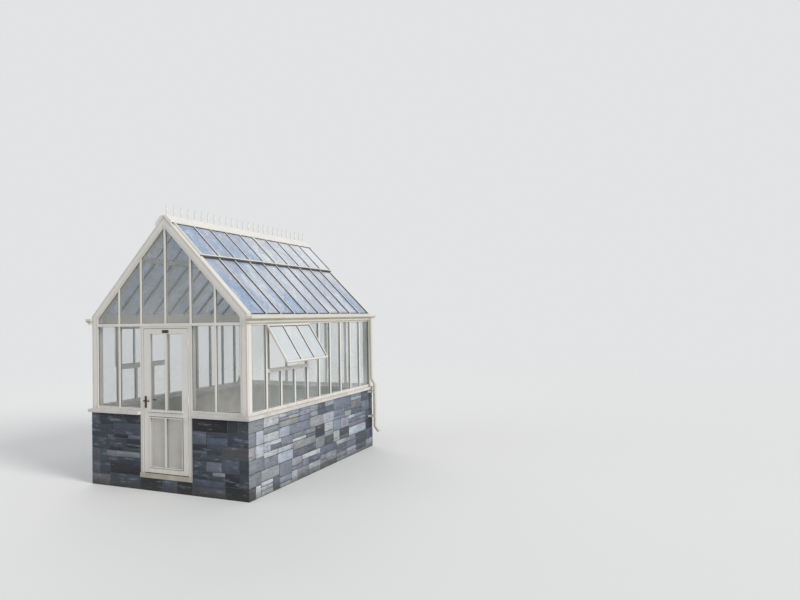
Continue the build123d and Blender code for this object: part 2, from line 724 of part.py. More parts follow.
# Door.
def door_frame():
    """Grooved jambs and a head, with a stop behind the leaf."""
    head_low = STEP + LEAF_TOP + HEAD_GAP
    depth = (LEAF_FACE, LEAF_FACE + FRAME_D)
    body = block((-FRAME_OUT, FRAME_OUT), depth, (STEP, TRANSOM_Z))
    body -= block((JAMB_IN_LATCH, JAMB_IN_HINGE), depth, (STEP - 1, head_low))
    back = (LEAF_FACE + LEAF_T + STOP_GAP, LEAF_FACE + FRAME_D)
    stops = block((JAMB_IN_LATCH, JAMB_IN_HINGE), back, (STEP, head_low))
    stops -= block((JAMB_IN_LATCH + STOP_W, JAMB_IN_HINGE - STOP_W), back, (STEP - 1, head_low - STOP_W))
    groove = FRAME_OUT - JAMB_QUIRK
    body -= both_sides(block((groove - QUIRK_W, groove), (LEAF_FACE, LEAF_FACE + QUIRK_D), (STEP, TRANSOM_Z)))
    return body + stops


def leaf_fields():
    """The clear openings of the leaf: two panes over two panels."""
    left, right = -LEAF_HALF + STILE, LEAF_HALF - STILE
    half = MUNTIN / 2
    lock_top = STEP + LOCK_RAIL_TOP
    upper = (lock_top, STEP + LEAF_TOP - TOP_RAIL)
    lower = (STEP + LEAF_LOW + BOTTOM_RAIL, lock_top - LOCK_RAIL)
    sides = [(left, -half), (half, right)]
    return [(x, upper) for x in sides], [(x, lower) for x in sides]


def panel_bead():
    """The moulding planted round both panels, chamfered on all its front edges."""
    fields = leaf_fields()[1]
    (left, right), (low, high) = (fields[0][0][0], fields[1][0][1]), fields[0][1]
    bead = block((left - BEAD_W, right + BEAD_W), (LEAF_FACE - BEAD_T, LEAF_FACE), (low - BEAD_W, high + BEAD_W))
    for x, z in fields:
        bead -= block(x, (LEAF_FACE - BEAD_T, LEAF_FACE), z)
    return chamfer(bead.edges().group_by(Axis.Y)[0], BEAD_EDGE)


def door_nosing():
    """The sloped nosing that throws water off below the door panes."""
    fields = leaf_fields()[0]
    left, right, top = fields[0][0][0], fields[1][0][1], fields[0][1][0]
    front = LEAF_FACE - NOSE_T
    section = outline([(LEAF_FACE, top), (front, top - NOSE_FALL), (front, top - NOSE_H), (LEAF_FACE, top - NOSE_H)])
    return along_x(section, left - NOSE_OVER, right + NOSE_OVER)


def door_leaf():
    """The framed leaf: chamfered glazing edges, a nosing, beaded panels and a bore for the spindle."""
    face, back = LEAF_FACE, LEAF_FACE + LEAF_T
    leaf = block((-LEAF_HALF, LEAF_HALF), (face, back), (STEP + LEAF_LOW, STEP + LEAF_TOP))
    glazed, panelled = leaf_fields()
    for x, z in glazed:
        leaf -= block(x, (face, back), z)
    rims = leaf.edges().group_by(Axis.Y)[0].filter_by_position(Axis.X, -LEAF_HALF + 1, LEAF_HALF - 1)
    top, bottom = STEP + LEAF_TOP - 1, STEP + LEAF_LOW + 1
    leaf = chamfer(rims.filter_by_position(Axis.Z, bottom, top), GLAZING_EDGE)
    for x, z in panelled:
        leaf -= block(x, (face, face + PANEL_SET), z)
        leaf -= block(x, (face + PANEL_SET + PANEL_T, back), z)
    leaf += panel_bead()
    leaf += door_nosing()
    spindle = Plane(origin=(HANDLE_X, face, STEP + HANDLE_Z), z_dir=(0, 1, 0))
    return leaf - extrude(spindle * Circle(SPINDLE_R + SPINDLE_PLAY), LEAF_T)


def door_panes():
    face = LEAF_FACE + LEAF_T / 2
    return [block(x, (face - GLASS_T / 2, face + GLASS_T / 2), z) for x, z in leaf_fields()[0]]


def knuckle(low, high):
    return along_z(Pos(HINGE_X, HINGE_Y) * Circle(KNUCKLE_R), low, high)


def hinge_parts(level):
    """A butt hinge: the jamb half with its pin, and the half on the leaf."""
    middle = STEP + level
    third = KNUCKLE_H / 3
    low, high = middle - KNUCKLE_H / 2, middle + KNUCKLE_H / 2
    plate_y = (HINGE_Y, LEAF_FACE + PLATE_W)
    bore = along_z(Pos(HINGE_X, HINGE_Y) * Circle(PIN_R + PIN_PLAY), low - 1, high + 1)
    pin = along_z(Pos(HINGE_X, HINGE_Y) * Circle(PIN_R), low, high)
    jamb_plate = block((JAMB_IN_HINGE - PLATE_T, JAMB_IN_HINGE), plate_y, (low, high))
    leaf_plate = block((LEAF_HALF, LEAF_HALF + PLATE_T), plate_y, (low, high))
    lower, upper = middle - third / 2, middle + third / 2
    gap = KNUCKLE_PLAY
    jamb = knuckle(low, lower - gap / 2) + knuckle(upper + gap / 2, high) + pin
    room = (HINGE_X - KNUCKLE_R - gap, HINGE_X + KNUCKLE_R + gap)
    depth = (HINGE_Y - KNUCKLE_R - gap, HINGE_Y + KNUCKLE_R + gap)
    centre = block(room, depth, (lower - gap / 2, upper + gap / 2))
    jamb = jamb + (jamb_plate - centre)
    ends = block(room, depth, (low, lower + gap / 2)) + block(room, depth, (upper - gap / 2, high))
    leaf = knuckle(lower + gap / 2, upper - gap / 2) + (leaf_plate - ends) - bore
    return jamb, leaf


def backplates():
    """The plates behind the levers on both faces of the leaf."""
    wide, high, thick = BACKPLATE
    z = STEP + HANDLE_Z - BACKPLATE_DROP
    plates = []
    for low in (LEAF_FACE - thick, LEAF_FACE + LEAF_T):
        plate = block((HANDLE_X - wide / 2, HANDLE_X + wide / 2), (low, low + thick), (z - high / 2, z + high / 2))
        plate = chamfer(plate.edges().filter_by(Axis.Y), wide / 4)
        bore = Plane(origin=(HANDLE_X, low, STEP + HANDLE_Z), z_dir=(0, 1, 0)) * Circle(SPINDLE_R + SPINDLE_PLAY)
        plates.append(plate - extrude(bore, thick))
    return plates


def lever(sign):
    """One lever and its rose; sign -1 is the outer face, +1 the inner one."""
    face = LEAF_FACE - BACKPLATE[2] if sign < 0 else LEAF_FACE + LEAF_T + BACKPLATE[2]
    z = STEP + HANDLE_Z
    start = face + sign * LEVER_GAP
    far = face + sign * LEVER_OUT
    near = far - sign * LEVER_T
    rose = extrude(Plane(origin=(HANDLE_X, start, z), z_dir=(0, sign, 0)) * Circle(ROSE_R), ROSE_H)
    left, right = HANDLE_X - LEVER_T / 2, HANDLE_X + LEVER_T / 2
    tip = HANDLE_X + LEVER_L
    plan = outline([(left, start), (right, start), (right, near), (tip, near), (tip, far), (left, far)])
    ends = plan.vertices().group_by(Axis.X)[-1]
    plan = fillet(ends, LEVER_T * 0.45)
    heel = plan.vertices().sort_by_distance((left, far, 0))[0]
    plan = fillet(heel, LEVER_T * 0.8)
    return rose + along_z(plan, z - LEVER_H / 2, z + LEVER_H / 2)


def door_handle():
    """Both levers on one spindle through the leaf."""
    start = LEAF_FACE - BACKPLATE[2] - LEVER_GAP
    end = LEAF_FACE + LEAF_T + BACKPLATE[2] + LEVER_GAP
    spindle = Plane(origin=(HANDLE_X, start, STEP + HANDLE_Z), z_dir=(0, 1, 0)) * Circle(SPINDLE_R)
    return extrude(spindle, end - start) + lever(-1) + lever(1)


def vent_stay(vent_frame):
    """A flat stay from the rail to the lower edge of the open side vent, cut flush with both."""
    angle = radians(SIDE_VENT_OPEN)
    y = (vent_bars()[0] + vent_bars()[-1]) / 2
    reach = SIDE_VENT_H - VENT_RAIL / 2
    end = Vector(BAR_FACE + reach * sin(angle), y, STEP + SIDE_VENT_TOP - reach * cos(angle))
    start = Vector(BAR_FACE, y, SIDE_RAIL_TOP - SIDE_RAIL_H / 2)
    run = end - start
    bar = block((-STAY_T, run.length + STAY_T), (-STAY_W / 2, STAY_W / 2), (-STAY_T / 2, STAY_T / 2))
    stay = Plane(origin=start, x_dir=run, z_dir=run.cross(Vector(0, 1, 0))) * bar
    return stay - side_vent_rail() - vent_frame


def write(name, shapes):
    """One STEP file with the solids of a node."""
    solids = []
    for shape in shapes:
        solids += list(shape.solids())
    node = solids[0] if len(solids) == 1 else Compound(children=solids)
    node.label = name
    export_step(node, "parts/" + name + ".step")


def main():
    os.makedirs("parts", exist_ok=True)
    write("floor_slab", [floor_slab()])
    write("door_step", [door_step()])
    write("wall_front", [front_wall()])
    write("wall_left", [mirrored(side_wall())])
    write("wall_right", [side_wall()])
    write("wall_back", [back_wall()])
    write("sill_left", [mirrored(side_sill())])
    write("sill_right", [side_sill()])
    write("sill_back", [back_sill()])
    write("sill_front", both_sides(front_sill()))

    post = corner_post()
    write("corner_posts", both_sides(post) + [to_back(piece) for piece in both_sides(post)])
    write("eave_plates", both_sides(eave_plate()))
    rail = base_rail_gable(FRAME_OUT, POST_IN)
    back_rail = to_back(base_rail_gable(-POST_IN, POST_IN))
    write("base_rails", both_sides(base_rail_side()) + both_sides(rail) + [back_rail])
    write("side_bars", on_both(side_bars()))
    write("side_vent_rails", both_sides(side_vent_rail()))
    write("gable_rafters_front", [gable_rafters()])
    write("gable_rafters_back", [to_back(gable_rafters())])
    write("gable_transoms", [gable_transom(), to_back(gable_transom())])
    bars = gable_bars_over()
    back_bars = [to_back(bar) for bar in bars + gable_bars_under(GABLE_BARS)]
    write("gable_bars", bars + gable_bars_under((-GABLE_BAR, GABLE_BAR)) + back_bars)
    web = BAR_WEB / 2
    beside_door = [(-POST_IN, -GABLE_BAR - web), (-GABLE_BAR + web, -FRAME_OUT),
                   (FRAME_OUT, GABLE_BAR - web), (GABLE_BAR + web, POST_IN)]
    over = gable_panes_over()
    across = pane_edges(GABLE_BARS, -POST_IN, POST_IN)
    back_panes = [to_back(pane) for pane in over + gable_panes_under(across)]
    write("gable_glass", over + gable_panes_under(beside_door) + back_panes)

    write("ridge_beam", [ridge_beam()])
    write("ridge_capping", [ridge_capping()])
    write("ridge_cresting", ridge_cresting())
    write("roof_bars", on_both([bar - beam_cut() for bar in roof_bars()]))
    write("roof_vent_rails", on_both(vent_rails()))
    write("roof_glass", on_both(roof_panes()))
    frames, glass = roof_vents()
    write("roof_vents_left", [mirrored(frame) for frame in frames])
    write("roof_vents_right", frames)
    write("roof_vent_glass", on_both(glass))

    frame, vent_glass = side_vent()
    opened = place_side_vent(frame, SIDE_VENT_OPEN)
    shut = mirrored(place_side_vent(frame, 0))
    write("side_vent_right", [opened])
    write("side_vent_left", [shut])
    hung = [place_side_vent(pane, SIDE_VENT_OPEN) for pane in vent_glass]
    shut_panes = [mirrored(place_side_vent(pane, 0)) for pane in vent_glass]
    write("side_glass", on_both(side_panes()) + hung + shut_panes)
    write("side_vent_stay", [vent_stay(opened)])

    write("gutter_left", [mirrored(gutter())])
    write("gutter_right", [gutter()])
    write("downpipe_left", [mirrored(downpipe())])
    write("downpipe_right", [downpipe()])
    write("pipe_brackets", on_both([pipe_bracket(BRACKET_UP), pipe_bracket(BRACKET_LOW)]))

    write("door_frame", [door_frame()])
    write("door_leaf", [door_leaf()])
    write("door_glass", door_panes())
    halves = [hinge_parts(level) for level in (HINGE_LOW, HINGE_MID, HINGE_TOP)]
    write("hinges_on_jamb", [jamb for jamb, leaf in halves])
    write("hinges_on_leaf", [leaf for jamb, leaf in halves])
    write("handle_plates", backplates())
    write("door_handle", [door_handle()])


if __name__ == "__main__":
    main()
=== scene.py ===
"""A glass greenhouse on a slate dwarf wall: its stones, finishes, small fittings and a plain studio."""

from math import cos, pi, sin

import bpy
import numpy as np
from bpy.props import FloatProperty, FloatVectorProperty, IntProperty, PointerProperty
from mathutils import Matrix, Vector


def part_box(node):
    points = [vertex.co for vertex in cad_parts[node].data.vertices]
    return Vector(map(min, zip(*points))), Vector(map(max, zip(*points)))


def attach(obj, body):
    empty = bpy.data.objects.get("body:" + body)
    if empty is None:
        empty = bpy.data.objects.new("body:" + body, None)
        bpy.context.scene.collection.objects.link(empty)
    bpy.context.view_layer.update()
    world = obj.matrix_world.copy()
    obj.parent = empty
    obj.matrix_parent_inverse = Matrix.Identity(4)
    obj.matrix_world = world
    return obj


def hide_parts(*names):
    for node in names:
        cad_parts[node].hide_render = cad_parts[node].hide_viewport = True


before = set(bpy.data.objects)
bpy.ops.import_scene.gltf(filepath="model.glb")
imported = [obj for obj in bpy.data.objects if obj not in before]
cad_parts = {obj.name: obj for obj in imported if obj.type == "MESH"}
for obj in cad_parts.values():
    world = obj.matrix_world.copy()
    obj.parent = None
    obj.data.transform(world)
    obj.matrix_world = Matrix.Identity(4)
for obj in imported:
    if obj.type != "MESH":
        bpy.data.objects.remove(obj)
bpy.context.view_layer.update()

bl_info = {
    "name": "Glass Greenhouse",
    "version": (1, 0, 0),
    "blender": (4, 5, 0),
    "location": "View3D > Sidebar > Greenhouse",
    "description": "Dresses a glass greenhouse with slate walls, paint, glass, fittings and a studio",
    "category": "Object",
}

# Names of the solids that share a finish.
FRAME_PARTS = (
    "base_rails", "corner_posts", "door_frame", "eave_plates", "gable_bars",
    "gable_rafters_back", "gable_rafters_front", "gable_transoms", "ridge_beam", "roof_bars",
    "roof_vent_rails", "side_bars", "side_vent_left", "side_vent_rails", "side_vent_right",
)
ROOF_SASHES = ("roof_vents_left", "roof_vents_right")
CAST_PARTS = ("ridge_capping", "ridge_cresting")
GUTTER_PARTS = ("downpipe_left", "downpipe_right", "gutter_left", "gutter_right", "pipe_brackets")
BRONZE_PARTS = ("door_handle", "handle_plates")
PAINTED_FITTINGS = ("hinges_on_jamb", "hinges_on_leaf", "side_vent_stay")
CLEAR_PANES = ("door_glass", "gable_glass", "side_glass")
ROOF_PANES = ("roof_glass", "roof_vent_glass")
SILLS = ("sill_back", "sill_front", "sill_left", "sill_right")
WALLS = ("wall_back", "wall_front", "wall_left", "wall_right")


def tone(red, green, blue):
    """A colour as a screen shows it, 0 to 255, as the linear values that a material takes."""
    parts = np.array((red, green, blue)) / 255.0
    linear = np.where(parts <= 0.04045, parts / 12.92, ((parts + 0.055) / 1.055) ** 2.4)
    return tuple(linear.tolist())


# Sizes taken from the solids.
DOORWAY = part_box("door_step")
FRONT_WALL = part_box("wall_front")
LEFT_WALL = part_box("wall_left")
RIGHT_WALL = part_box("wall_right")
BACK_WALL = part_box("wall_back")
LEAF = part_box("door_leaf")
HANDLE_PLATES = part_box("handle_plates")
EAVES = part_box("eave_plates")
GABLE_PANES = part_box("gable_glass")
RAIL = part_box("base_rails")
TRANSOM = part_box("gable_transoms")
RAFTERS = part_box("gable_rafters_front")
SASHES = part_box("roof_vents_right")
LOW_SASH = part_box("side_vent_left")
VENT_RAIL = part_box("side_vent_rails")
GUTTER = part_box("gutter_right")
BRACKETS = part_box("pipe_brackets")
WALL_TOP = FRONT_WALL[1].z
WALL_THICK = FRONT_WALL[1].y - FRONT_WALL[0].y
HALF_W = RAFTERS[1].x
FRAME_Y = -EAVES[0].y          # the side bays lie between this and its opposite
BAY = 2 * FRAME_Y / 10
EAVE_Z = RAFTERS[1].z - HALF_W
ROOT_HALF = 0.5 ** 0.5         # the roof slopes at 45 degrees
CAP_HALF = 0.018               # half the face of an upright bar
ROOF_CAP_HALF = 0.013
PANE_FOOT = 0.003              # seals of the roof panes, up the slope from the eave; at each pane's foot the dark seal paints a shadow line
CAP_DEPTH = 0.016              # panes behind the face of their bars
SASH_T = 0.026
SASH_STILE = 0.026
SASH_RAIL = 0.024
SASH_BAR_HALF = 0.009
SASH_OPEN = 32.5 * pi / 180    # the right side vent stands open
BAR_FACE = RAIL[1].x
DOOR_HALF = DOORWAY[1].x
GABLE_BARS = (-0.852, -0.440, 0.0, 0.440, 0.852)
PANEL_HALF = 0.1285            # the door's two fields, beside its muntin
PANEL_MIDDLE = 0.1485
PANEL_Z = (0.335, 1.003)
PANE_Z = (1.120, 2.164)
BEAD_HALF = 0.297
BEAD_Z = (0.315, 1.023)
NOSING_HALF = 0.302
NOSING_LOW = 1.086
BRACKET_HIGH = 0.032
BRACKET_THICK = 0.004
RAFTER_LOW = RAFTERS[1].z - 0.113 / ROOT_HALF    # underside of the rafters at the middle of the house
SILL_TOP = WALL_TOP + 0.05
BARS = [-FRAME_Y + BAY * place for place in range(1, 10)]    # middles of the roof and side bars
END_GAP = 0.001                # first and last seal, inside the ends of the frame
SASH_GAP = 0.003               # between two sashes, and between a sash and the panes below it
SASH_GLASS = SASH_T / 2 + 0.002
ROOF_SEAL_AND_SHADOW_LINE = (0.011, 0.0135)    # foot on the glass, and height
SASH_SEAL = (0.010, 0.0095)
VENT_SEAL = (0.007, 0.0095)
PANE_SEAL = (0.004, 0.010)
TRANSOM_PROUD = 0.006
TOP_RAIL_BACK = 0.015          # face of the door's top rail, behind the front of the leaf
PLATE_DOWN = 0.0375            # middle of the bare plate, below the top of the leaf


# Shader maths.
def sign(operation, reflected=False):
    """A method of Reckoned that adds a Math node, its two values swapped where it is reflected."""
    def reckon(self, other=0.0):
        first, second = (other, self) if reflected else (self, other)
        return self.finish.node("ShaderNodeMath", {"operation": operation}, {0: first, 1: second})
    return reckon


class Reckoned:
    """A socket of a finish that can be reckoned with: each sign adds a Math node."""
    __add__ = sign("ADD")
    __radd__ = sign("ADD", True)
    __sub__ = sign("SUBTRACT")
    __rsub__ = sign("SUBTRACT", True)
    __mul__ = sign("MULTIPLY")
    __rmul__ = sign("MULTIPLY", True)
    __pow__ = sign("POWER")
    greater = sign("MAXIMUM")
    size = sign("ABSOLUTE")

    def __init__(self, finish, socket):
        self.finish = finish
        self.socket = socket

    def stepped(self, low, high):
        """0 below low, 1 above high, and smooth between."""
        return self.finish.node(
            "ShaderNodeMapRange",
            {"interpolation_type": "SMOOTHSTEP", "clamp": True},
            {"Value": self, "From Min": low, "From Max": high, "To Min": 0.0, "To Max": 1.0},
        )


class Finish:
    """The nodes of a material, or of a world where the worlds are given as its store."""

    def __init__(self, name, store=None):
        self.owner = bpy.data.materials.new(name) if store is None else store.new(name)
        self.owner.use_nodes = True
        self.tree = self.owner.node_tree
        self.tree.nodes.clear()
        self.place = self.node("ShaderNodeTexCoord", output="Object")

    def node(self, kind, settings=None, values=None, output=0):
        """Adds a node: its settings first, then a number, colour or link for each socket."""
        made = self.tree.nodes.new(kind)
        for name, setting in (settings or {}).items():
            setattr(made, name, setting)
        for name, value in (values or {}).items():
            socket = made.inputs[name]
            if isinstance(value, Reckoned):
                self.tree.links.new(value.socket, socket)
            else:
                socket.default_value = (*value, 1.0) if socket.type == "RGBA" else value
        return Reckoned(self, made.outputs[output])

    def noise(self, scale, detail=4.0, rough=0.5, stretch=None):
        """Cloudy noise from 0 to 1 with so many lumps to the metre, multiplied on each axis."""
        place = self.place
        if stretch:
            place = self.node("ShaderNodeVectorMath", {"operation": "MULTIPLY"}, {0: place, 1: stretch})
        return self.node(
            "ShaderNodeTexNoise",
            {"noise_dimensions": "3D"},
            {"Vector": place, "Scale": scale, "Detail": detail, "Roughness": rough},
        )

    def axis(self, name):
        """One axis of the place on the object, in metres."""
        return self.node("ShaderNodeSeparateXYZ", None, {0: self.place}, output=name)

    def mix(self, factor, first, second, blend="MIX"):
        """Two colours mixed, or multiplied where blend says so."""
        return self.node(
            "ShaderNodeMix",
            {"data_type": "RGBA", "blend_type": blend, "clamp_factor": True},
            {0: factor, 6: first, 7: second},
            output=2,
        )

    def shaded(self, colour, share):
        """A colour multiplied by a number."""
        grey = self.node("ShaderNodeCombineColor", None, {0: share, 1: share, 2: share})
        return self.mix(1.0, colour, grey, "MULTIPLY")

    def stained(self, colour, *stains):
        """A colour with stains laid over it in turn, each a factor and a tone."""
        for factor, stain in stains:
            colour = self.mix(factor, colour, stain)
        return colour

    def surface(self, colour, roughness, height, strength, distance, more=None):
        """Adds a Principled shader, its normal tilted by a height, and the output."""
        bump = {"Height": height, "Strength": strength, "Distance": distance}
        values = {
            "Base Color": colour,
            "Roughness": roughness,
            "Normal": self.node("ShaderNodeBump", None, bump, output="Normal"),
            **(more or {}),
        }
        return self.finished(self.node("ShaderNodeBsdfPrincipled", None, values))

    def finished(self, shader, kind="ShaderNodeOutputMaterial"):
        """Links a shader to the output."""
        out = self.tree.nodes.new(kind)
        self.tree.links.new(shader.socket, out.inputs["Surface"])
        return self.owner


def dress(names, material):
    """Gives solids of the frame a material."""
    for name in names:
        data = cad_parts[name].data
        data.materials.clear()
        data.materials.append(material)


# Mesh making.
def object_of(name, parts, material, smooth=True):
    """An object in the scene, from sets of points in metres and lists of corners."""
    points, faces = joined(parts)
    if not faces:
        raise RuntimeError(f"{name} has no faces")
    mesh = bpy.data.meshes.new(name)
    mesh.from_pydata(points.tolist(), [], faces)
    mesh.polygons.foreach_set("use_smooth", np.full(len(mesh.polygons), smooth))
    mesh.materials.append(material)
    mesh.update()
    made = bpy.data.objects.new(name, mesh)
    bpy.context.scene.collection.objects.link(made)
    return made


def shown(name, parts, body, material, smooth=True):
    """A new piece that rides on a body."""
    piece = object_of(name, parts, material, smooth)
    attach(piece, body)
    return piece


def lattice(rows, columns, round_rows=False, round_columns=False):
    """Corners of the squares between neighbours on a grid, which may close on itself either way."""
    row = np.arange(rows if round_rows else rows - 1)
    column = np.arange(columns if round_columns else columns - 1)
    row, column = np.meshgrid(row, column, indexing="ij")
    next_row = (row + 1) % rows
    next_column = (column + 1) % columns
    corners = (
        row * columns + column,
        row * columns + next_column,
        next_row * columns + next_column,
        next_row * columns + column,
    )
    return np.stack(corners, axis=-1).reshape(-1, 4)


def carried(profile, path, across, closed=False):
    """A closed profile carried along a flat path with mitred corners, its ends capped if it is open.

    The profile's first number runs to the right of the path and its second along across. At each
    corner the right-hand offset is lengthened by the mitre: the sum of the two right-hand
    directions over one plus the cosine between them. A profile that turns the wrong way, by the
    sign of its area, is turned round, so that the faces point outwards.
    """
    path = np.asarray(path, float)
    profile = np.asarray(profile, float)
    across = np.asarray(across, float)
    following = np.roll(profile, -1, axis=0)
    if (profile[:, 0] * following[:, 1] - following[:, 0] * profile[:, 1]).sum() > 0:
        profile = profile[::-1]
    after = np.roll(path, -1, axis=0) - path
    after /= np.linalg.norm(after, axis=1)[:, None]
    if not closed:
        after[-1] = after[-2]
    before = np.roll(after, 1, axis=0)
    if not closed:
        before[0] = after[0]
    right_after = np.cross(after, across)
    right_before = np.cross(before, across)
    mitre = (right_after + right_before) / (1 + (right_after * right_before).sum(axis=1))[:, None]
    points = path[:, None] + profile[None, :, :1] * mitre[:, None] + profile[None, :, 1:] * across
    faces = lattice(len(path), len(profile), closed, True).tolist()
    if not closed:
        last = (len(path) - 1) * len(profile)
        faces.append(list(reversed(range(len(profile)))))
        faces.append([last + index for index in range(len(profile))])
    return points.reshape(-1, 3), faces


def boss(centre, right, up, half_w, half_h, rings, power=2.0, around=24):
    """A closed flat boss: rings of a superellipse at given heights and insets, with a pole at each end.

    A ring's point is the signed power 2/p of the cosine times the half width, and of the sine times
    the half height, which is a circle for p = 2 and nearly a rectangle for p = 8.
    """
    centre, right, up = (np.asarray(part, float) for part in (centre, right, up))
    out = np.cross(right, up)
    angle = np.arange(around) * 2 * pi / around
    cosine = np.sign(np.cos(angle)) * np.abs(np.cos(angle)) ** (2 / power)
    sine = np.sign(np.sin(angle)) * np.abs(np.sin(angle)) ** (2 / power)
    rings = np.asarray(rings, float)
    wide = (half_w - rings[:, :1]) * cosine
    high = (half_h - rings[:, :1]) * sine
    heights = rings[:, 1][:, None, None]
    points = centre + wide[:, :, None] * right + high[:, :, None] * up + heights * out
    points = points.reshape(-1, 3)
    low_pole = centre + rings[0, 1] * out
    high_pole = centre + rings[-1, 1] * out
    count = len(points)
    faces = lattice(len(rings), around, False, True).tolist()
    following = (np.arange(around) + 1) % around
    last = count - around
    faces += [[int(after), int(now), count] for now, after in enumerate(following)]
    faces += [[last + now, int(last + after), count + 1] for now, after in enumerate(following)]
    return np.vstack((points, low_pole, high_pole)), faces


def joined(parts):
    """Several sets of points and faces as one."""
    points = []
    faces = []
    start = 0
    for part_points, part_faces in parts:
        points.append(part_points)
        faces += [[corner + start for corner in face] for face in part_faces]
        start += len(part_points)
    return np.vstack(points), faces


# Slate walls.
CORNERS = (
    (LEFT_WALL[0].x, LEFT_WALL[0].y),
    (RIGHT_WALL[1].x, RIGHT_WALL[0].y),
    (RIGHT_WALL[1].x, RIGHT_WALL[1].y),
    (LEFT_WALL[0].x, LEFT_WALL[1].y),
)
BANDS = (0.0, 0.168, 0.343, 0.521, 0.692, 0.872, WALL_TOP)
# each slate: its tone, its share on the front and left walls, and its share on the right and back walls,
# where the larger shares of pale slates are partly painted sunlight
SLATES = {
    "near_black": (tone(38, 41, 49), 0.20, 0.02),
    "dark_blue": (tone(54, 60, 73), 0.23, 0.13),
    "slate_blue": (tone(74, 83, 97), 0.19, 0.25),
    "grey": (tone(88, 93, 101), 0.11, 0.23),
    "dark_teal": (tone(62, 71, 76), 0.06, 0.07),
    "purple_grey": (tone(73, 75, 85), 0.07, 0.05),
    "warm_grey": (tone(78, 79, 82), 0.04, 0.07),
    "blue_grey": (tone(106, 115, 127), 0.06, 0.11),
    "pale_grey": (tone(126, 130, 135), 0.03, 0.06),
    "green_grey": (tone(98, 105, 103), 0.01, 0.01),
}
SUNLIT_PALER = (4.3, 1.35)         # painted sunlight: how much paler the sunny faces are, at the front and at the back
SUNLIT_GREYER = (0.62, 0.10)          # painted sunlight: share of their colour that the sunny faces lose
# palest tone of the painted sunlight
SUNLIT_PALEST = tone(183, 187, 191)
SHADES = (0.60, 1.45)          # darkest and lightest share of a slate's tone
FIELD_BLOCKS = (0.26, 0.86)    # shortest and longest block between quoins
STEP_BLOCKS = (0.22, 0.5)      # and under the door step
RIM = 2.4                      # depth of a stone's back edge, in roundings
RIVEN = 0.0014                 # unevenness of a face
PROUD = 0.0035                 # how far a stone stands behind the next
ARRIS = 0.007                  # rounding of the house's corners
BOW = 0.0025                   # bend of a stone's edges
LEAN = 0.0022                  # slant of a stone's edges


def cut_course(rng, low, high, shortest, longest):
    """Upright joints along a course, with no stone shorter than the shortest."""
    cuts = [low]
    while high - cuts[-1] > longest:
        step = rng.uniform(shortest, longest)
        if high - cuts[-1] - step < shortest:
            step = (high - cuts[-1]) / 2
        cuts.append(cuts[-1] + step)
    cuts.append(high)
    return list(zip(cuts[:-1], cuts[1:]))


def cut_block(rng, left, right, low, high):
    """Stones of a block, cut in two again and again: along a bed while tall, upright while long.

    Now and then a narrow block stays whole as a tall stone.
    """
    wide, tall = right - left, high - low
    if tall > 0.20 and (wide > 0.15 or rng.random() < 0.35):
        cut = low + tall * rng.uniform(0.32, 0.68)
        return cut_block(rng, left, right, low, cut) + cut_block(rng, left, right, cut, high)
    if wide > 0.66 or (wide > 0.40 and rng.random() < 0.45):
        cut = left + wide * rng.uniform(0.32, 0.68)
        return cut_block(rng, left, cut, low, high) + cut_block(rng, cut, right, low, high)
    if tall > 0.11 and rng.random() < 0.42:
        cut = low + tall * rng.uniform(0.36, 0.64)
        return cut_block(rng, left, right, low, cut) + cut_block(rng, left, right, cut, high)
    return [(left, right, low, high)]


def wall_layout(seed):
    """Every stone as (corner it is measured from, start, end, bottom, top, side, is a quoin).

    Quoins at the corners reach far along one wall and little along the next, turn about. The field
    between them is laid in lifts two quoins high; a closing stone fills up beside each short reach.
    """
    rng = np.random.default_rng(seed)
    lengths = (2 * RIGHT_WALL[1].x, RIGHT_WALL[1].y - RIGHT_WALL[0].y) * 2
    gap_low = DOORWAY[0].x - LEFT_WALL[0].x
    gap_high = DOORWAY[1].x - LEFT_WALL[0].x
    rows = []
    for lift in range(0, len(BANDS) - 1, 2):
        bottom, middle, top = BANDS[lift:lift + 3]
        far = rng.uniform(0.26, 0.46, (4, 2))
        for corner in range(4):
            low_is_far = (corner + lift // 2) % 2 == 0
            for level, (bed, head) in enumerate(((bottom, middle), (middle, top))):
                far_ahead = low_is_far == (level == 0)
                short = rng.uniform(0.13, 0.17)
                before, after = (short, far[corner, 1]) if far_ahead else (far[corner, 0], short)
                rows.append((corner, -before, after, bed, head, corner, 1))
                if far_ahead:
                    previous = (corner - 1) % 4
                    wall = lengths[previous]
                    rows.append((previous, wall - far[corner, 0], wall - short, bed, head, previous, 0))
                else:
                    rows.append((corner, short, far[corner, 1], bed, head, corner, 0))
        for side in range(4):
            low = far[side, 1]
            high = lengths[side] - far[(side + 1) % 4, 0]
            runs = [(low, gap_low), (gap_high, high)] if side == 0 else [(low, high)]
            for start, end in runs:
                for block in cut_course(rng, start, end, *FIELD_BLOCKS):
                    rows += [(side, *stone, side, 0) for stone in cut_block(rng, *block, bottom, top)]
    for block in cut_course(rng, gap_low, gap_high, *STEP_BLOCKS):
        rows.append((0, *block, 0.0, DOORWAY[0].z, 0, 0))
    return rows


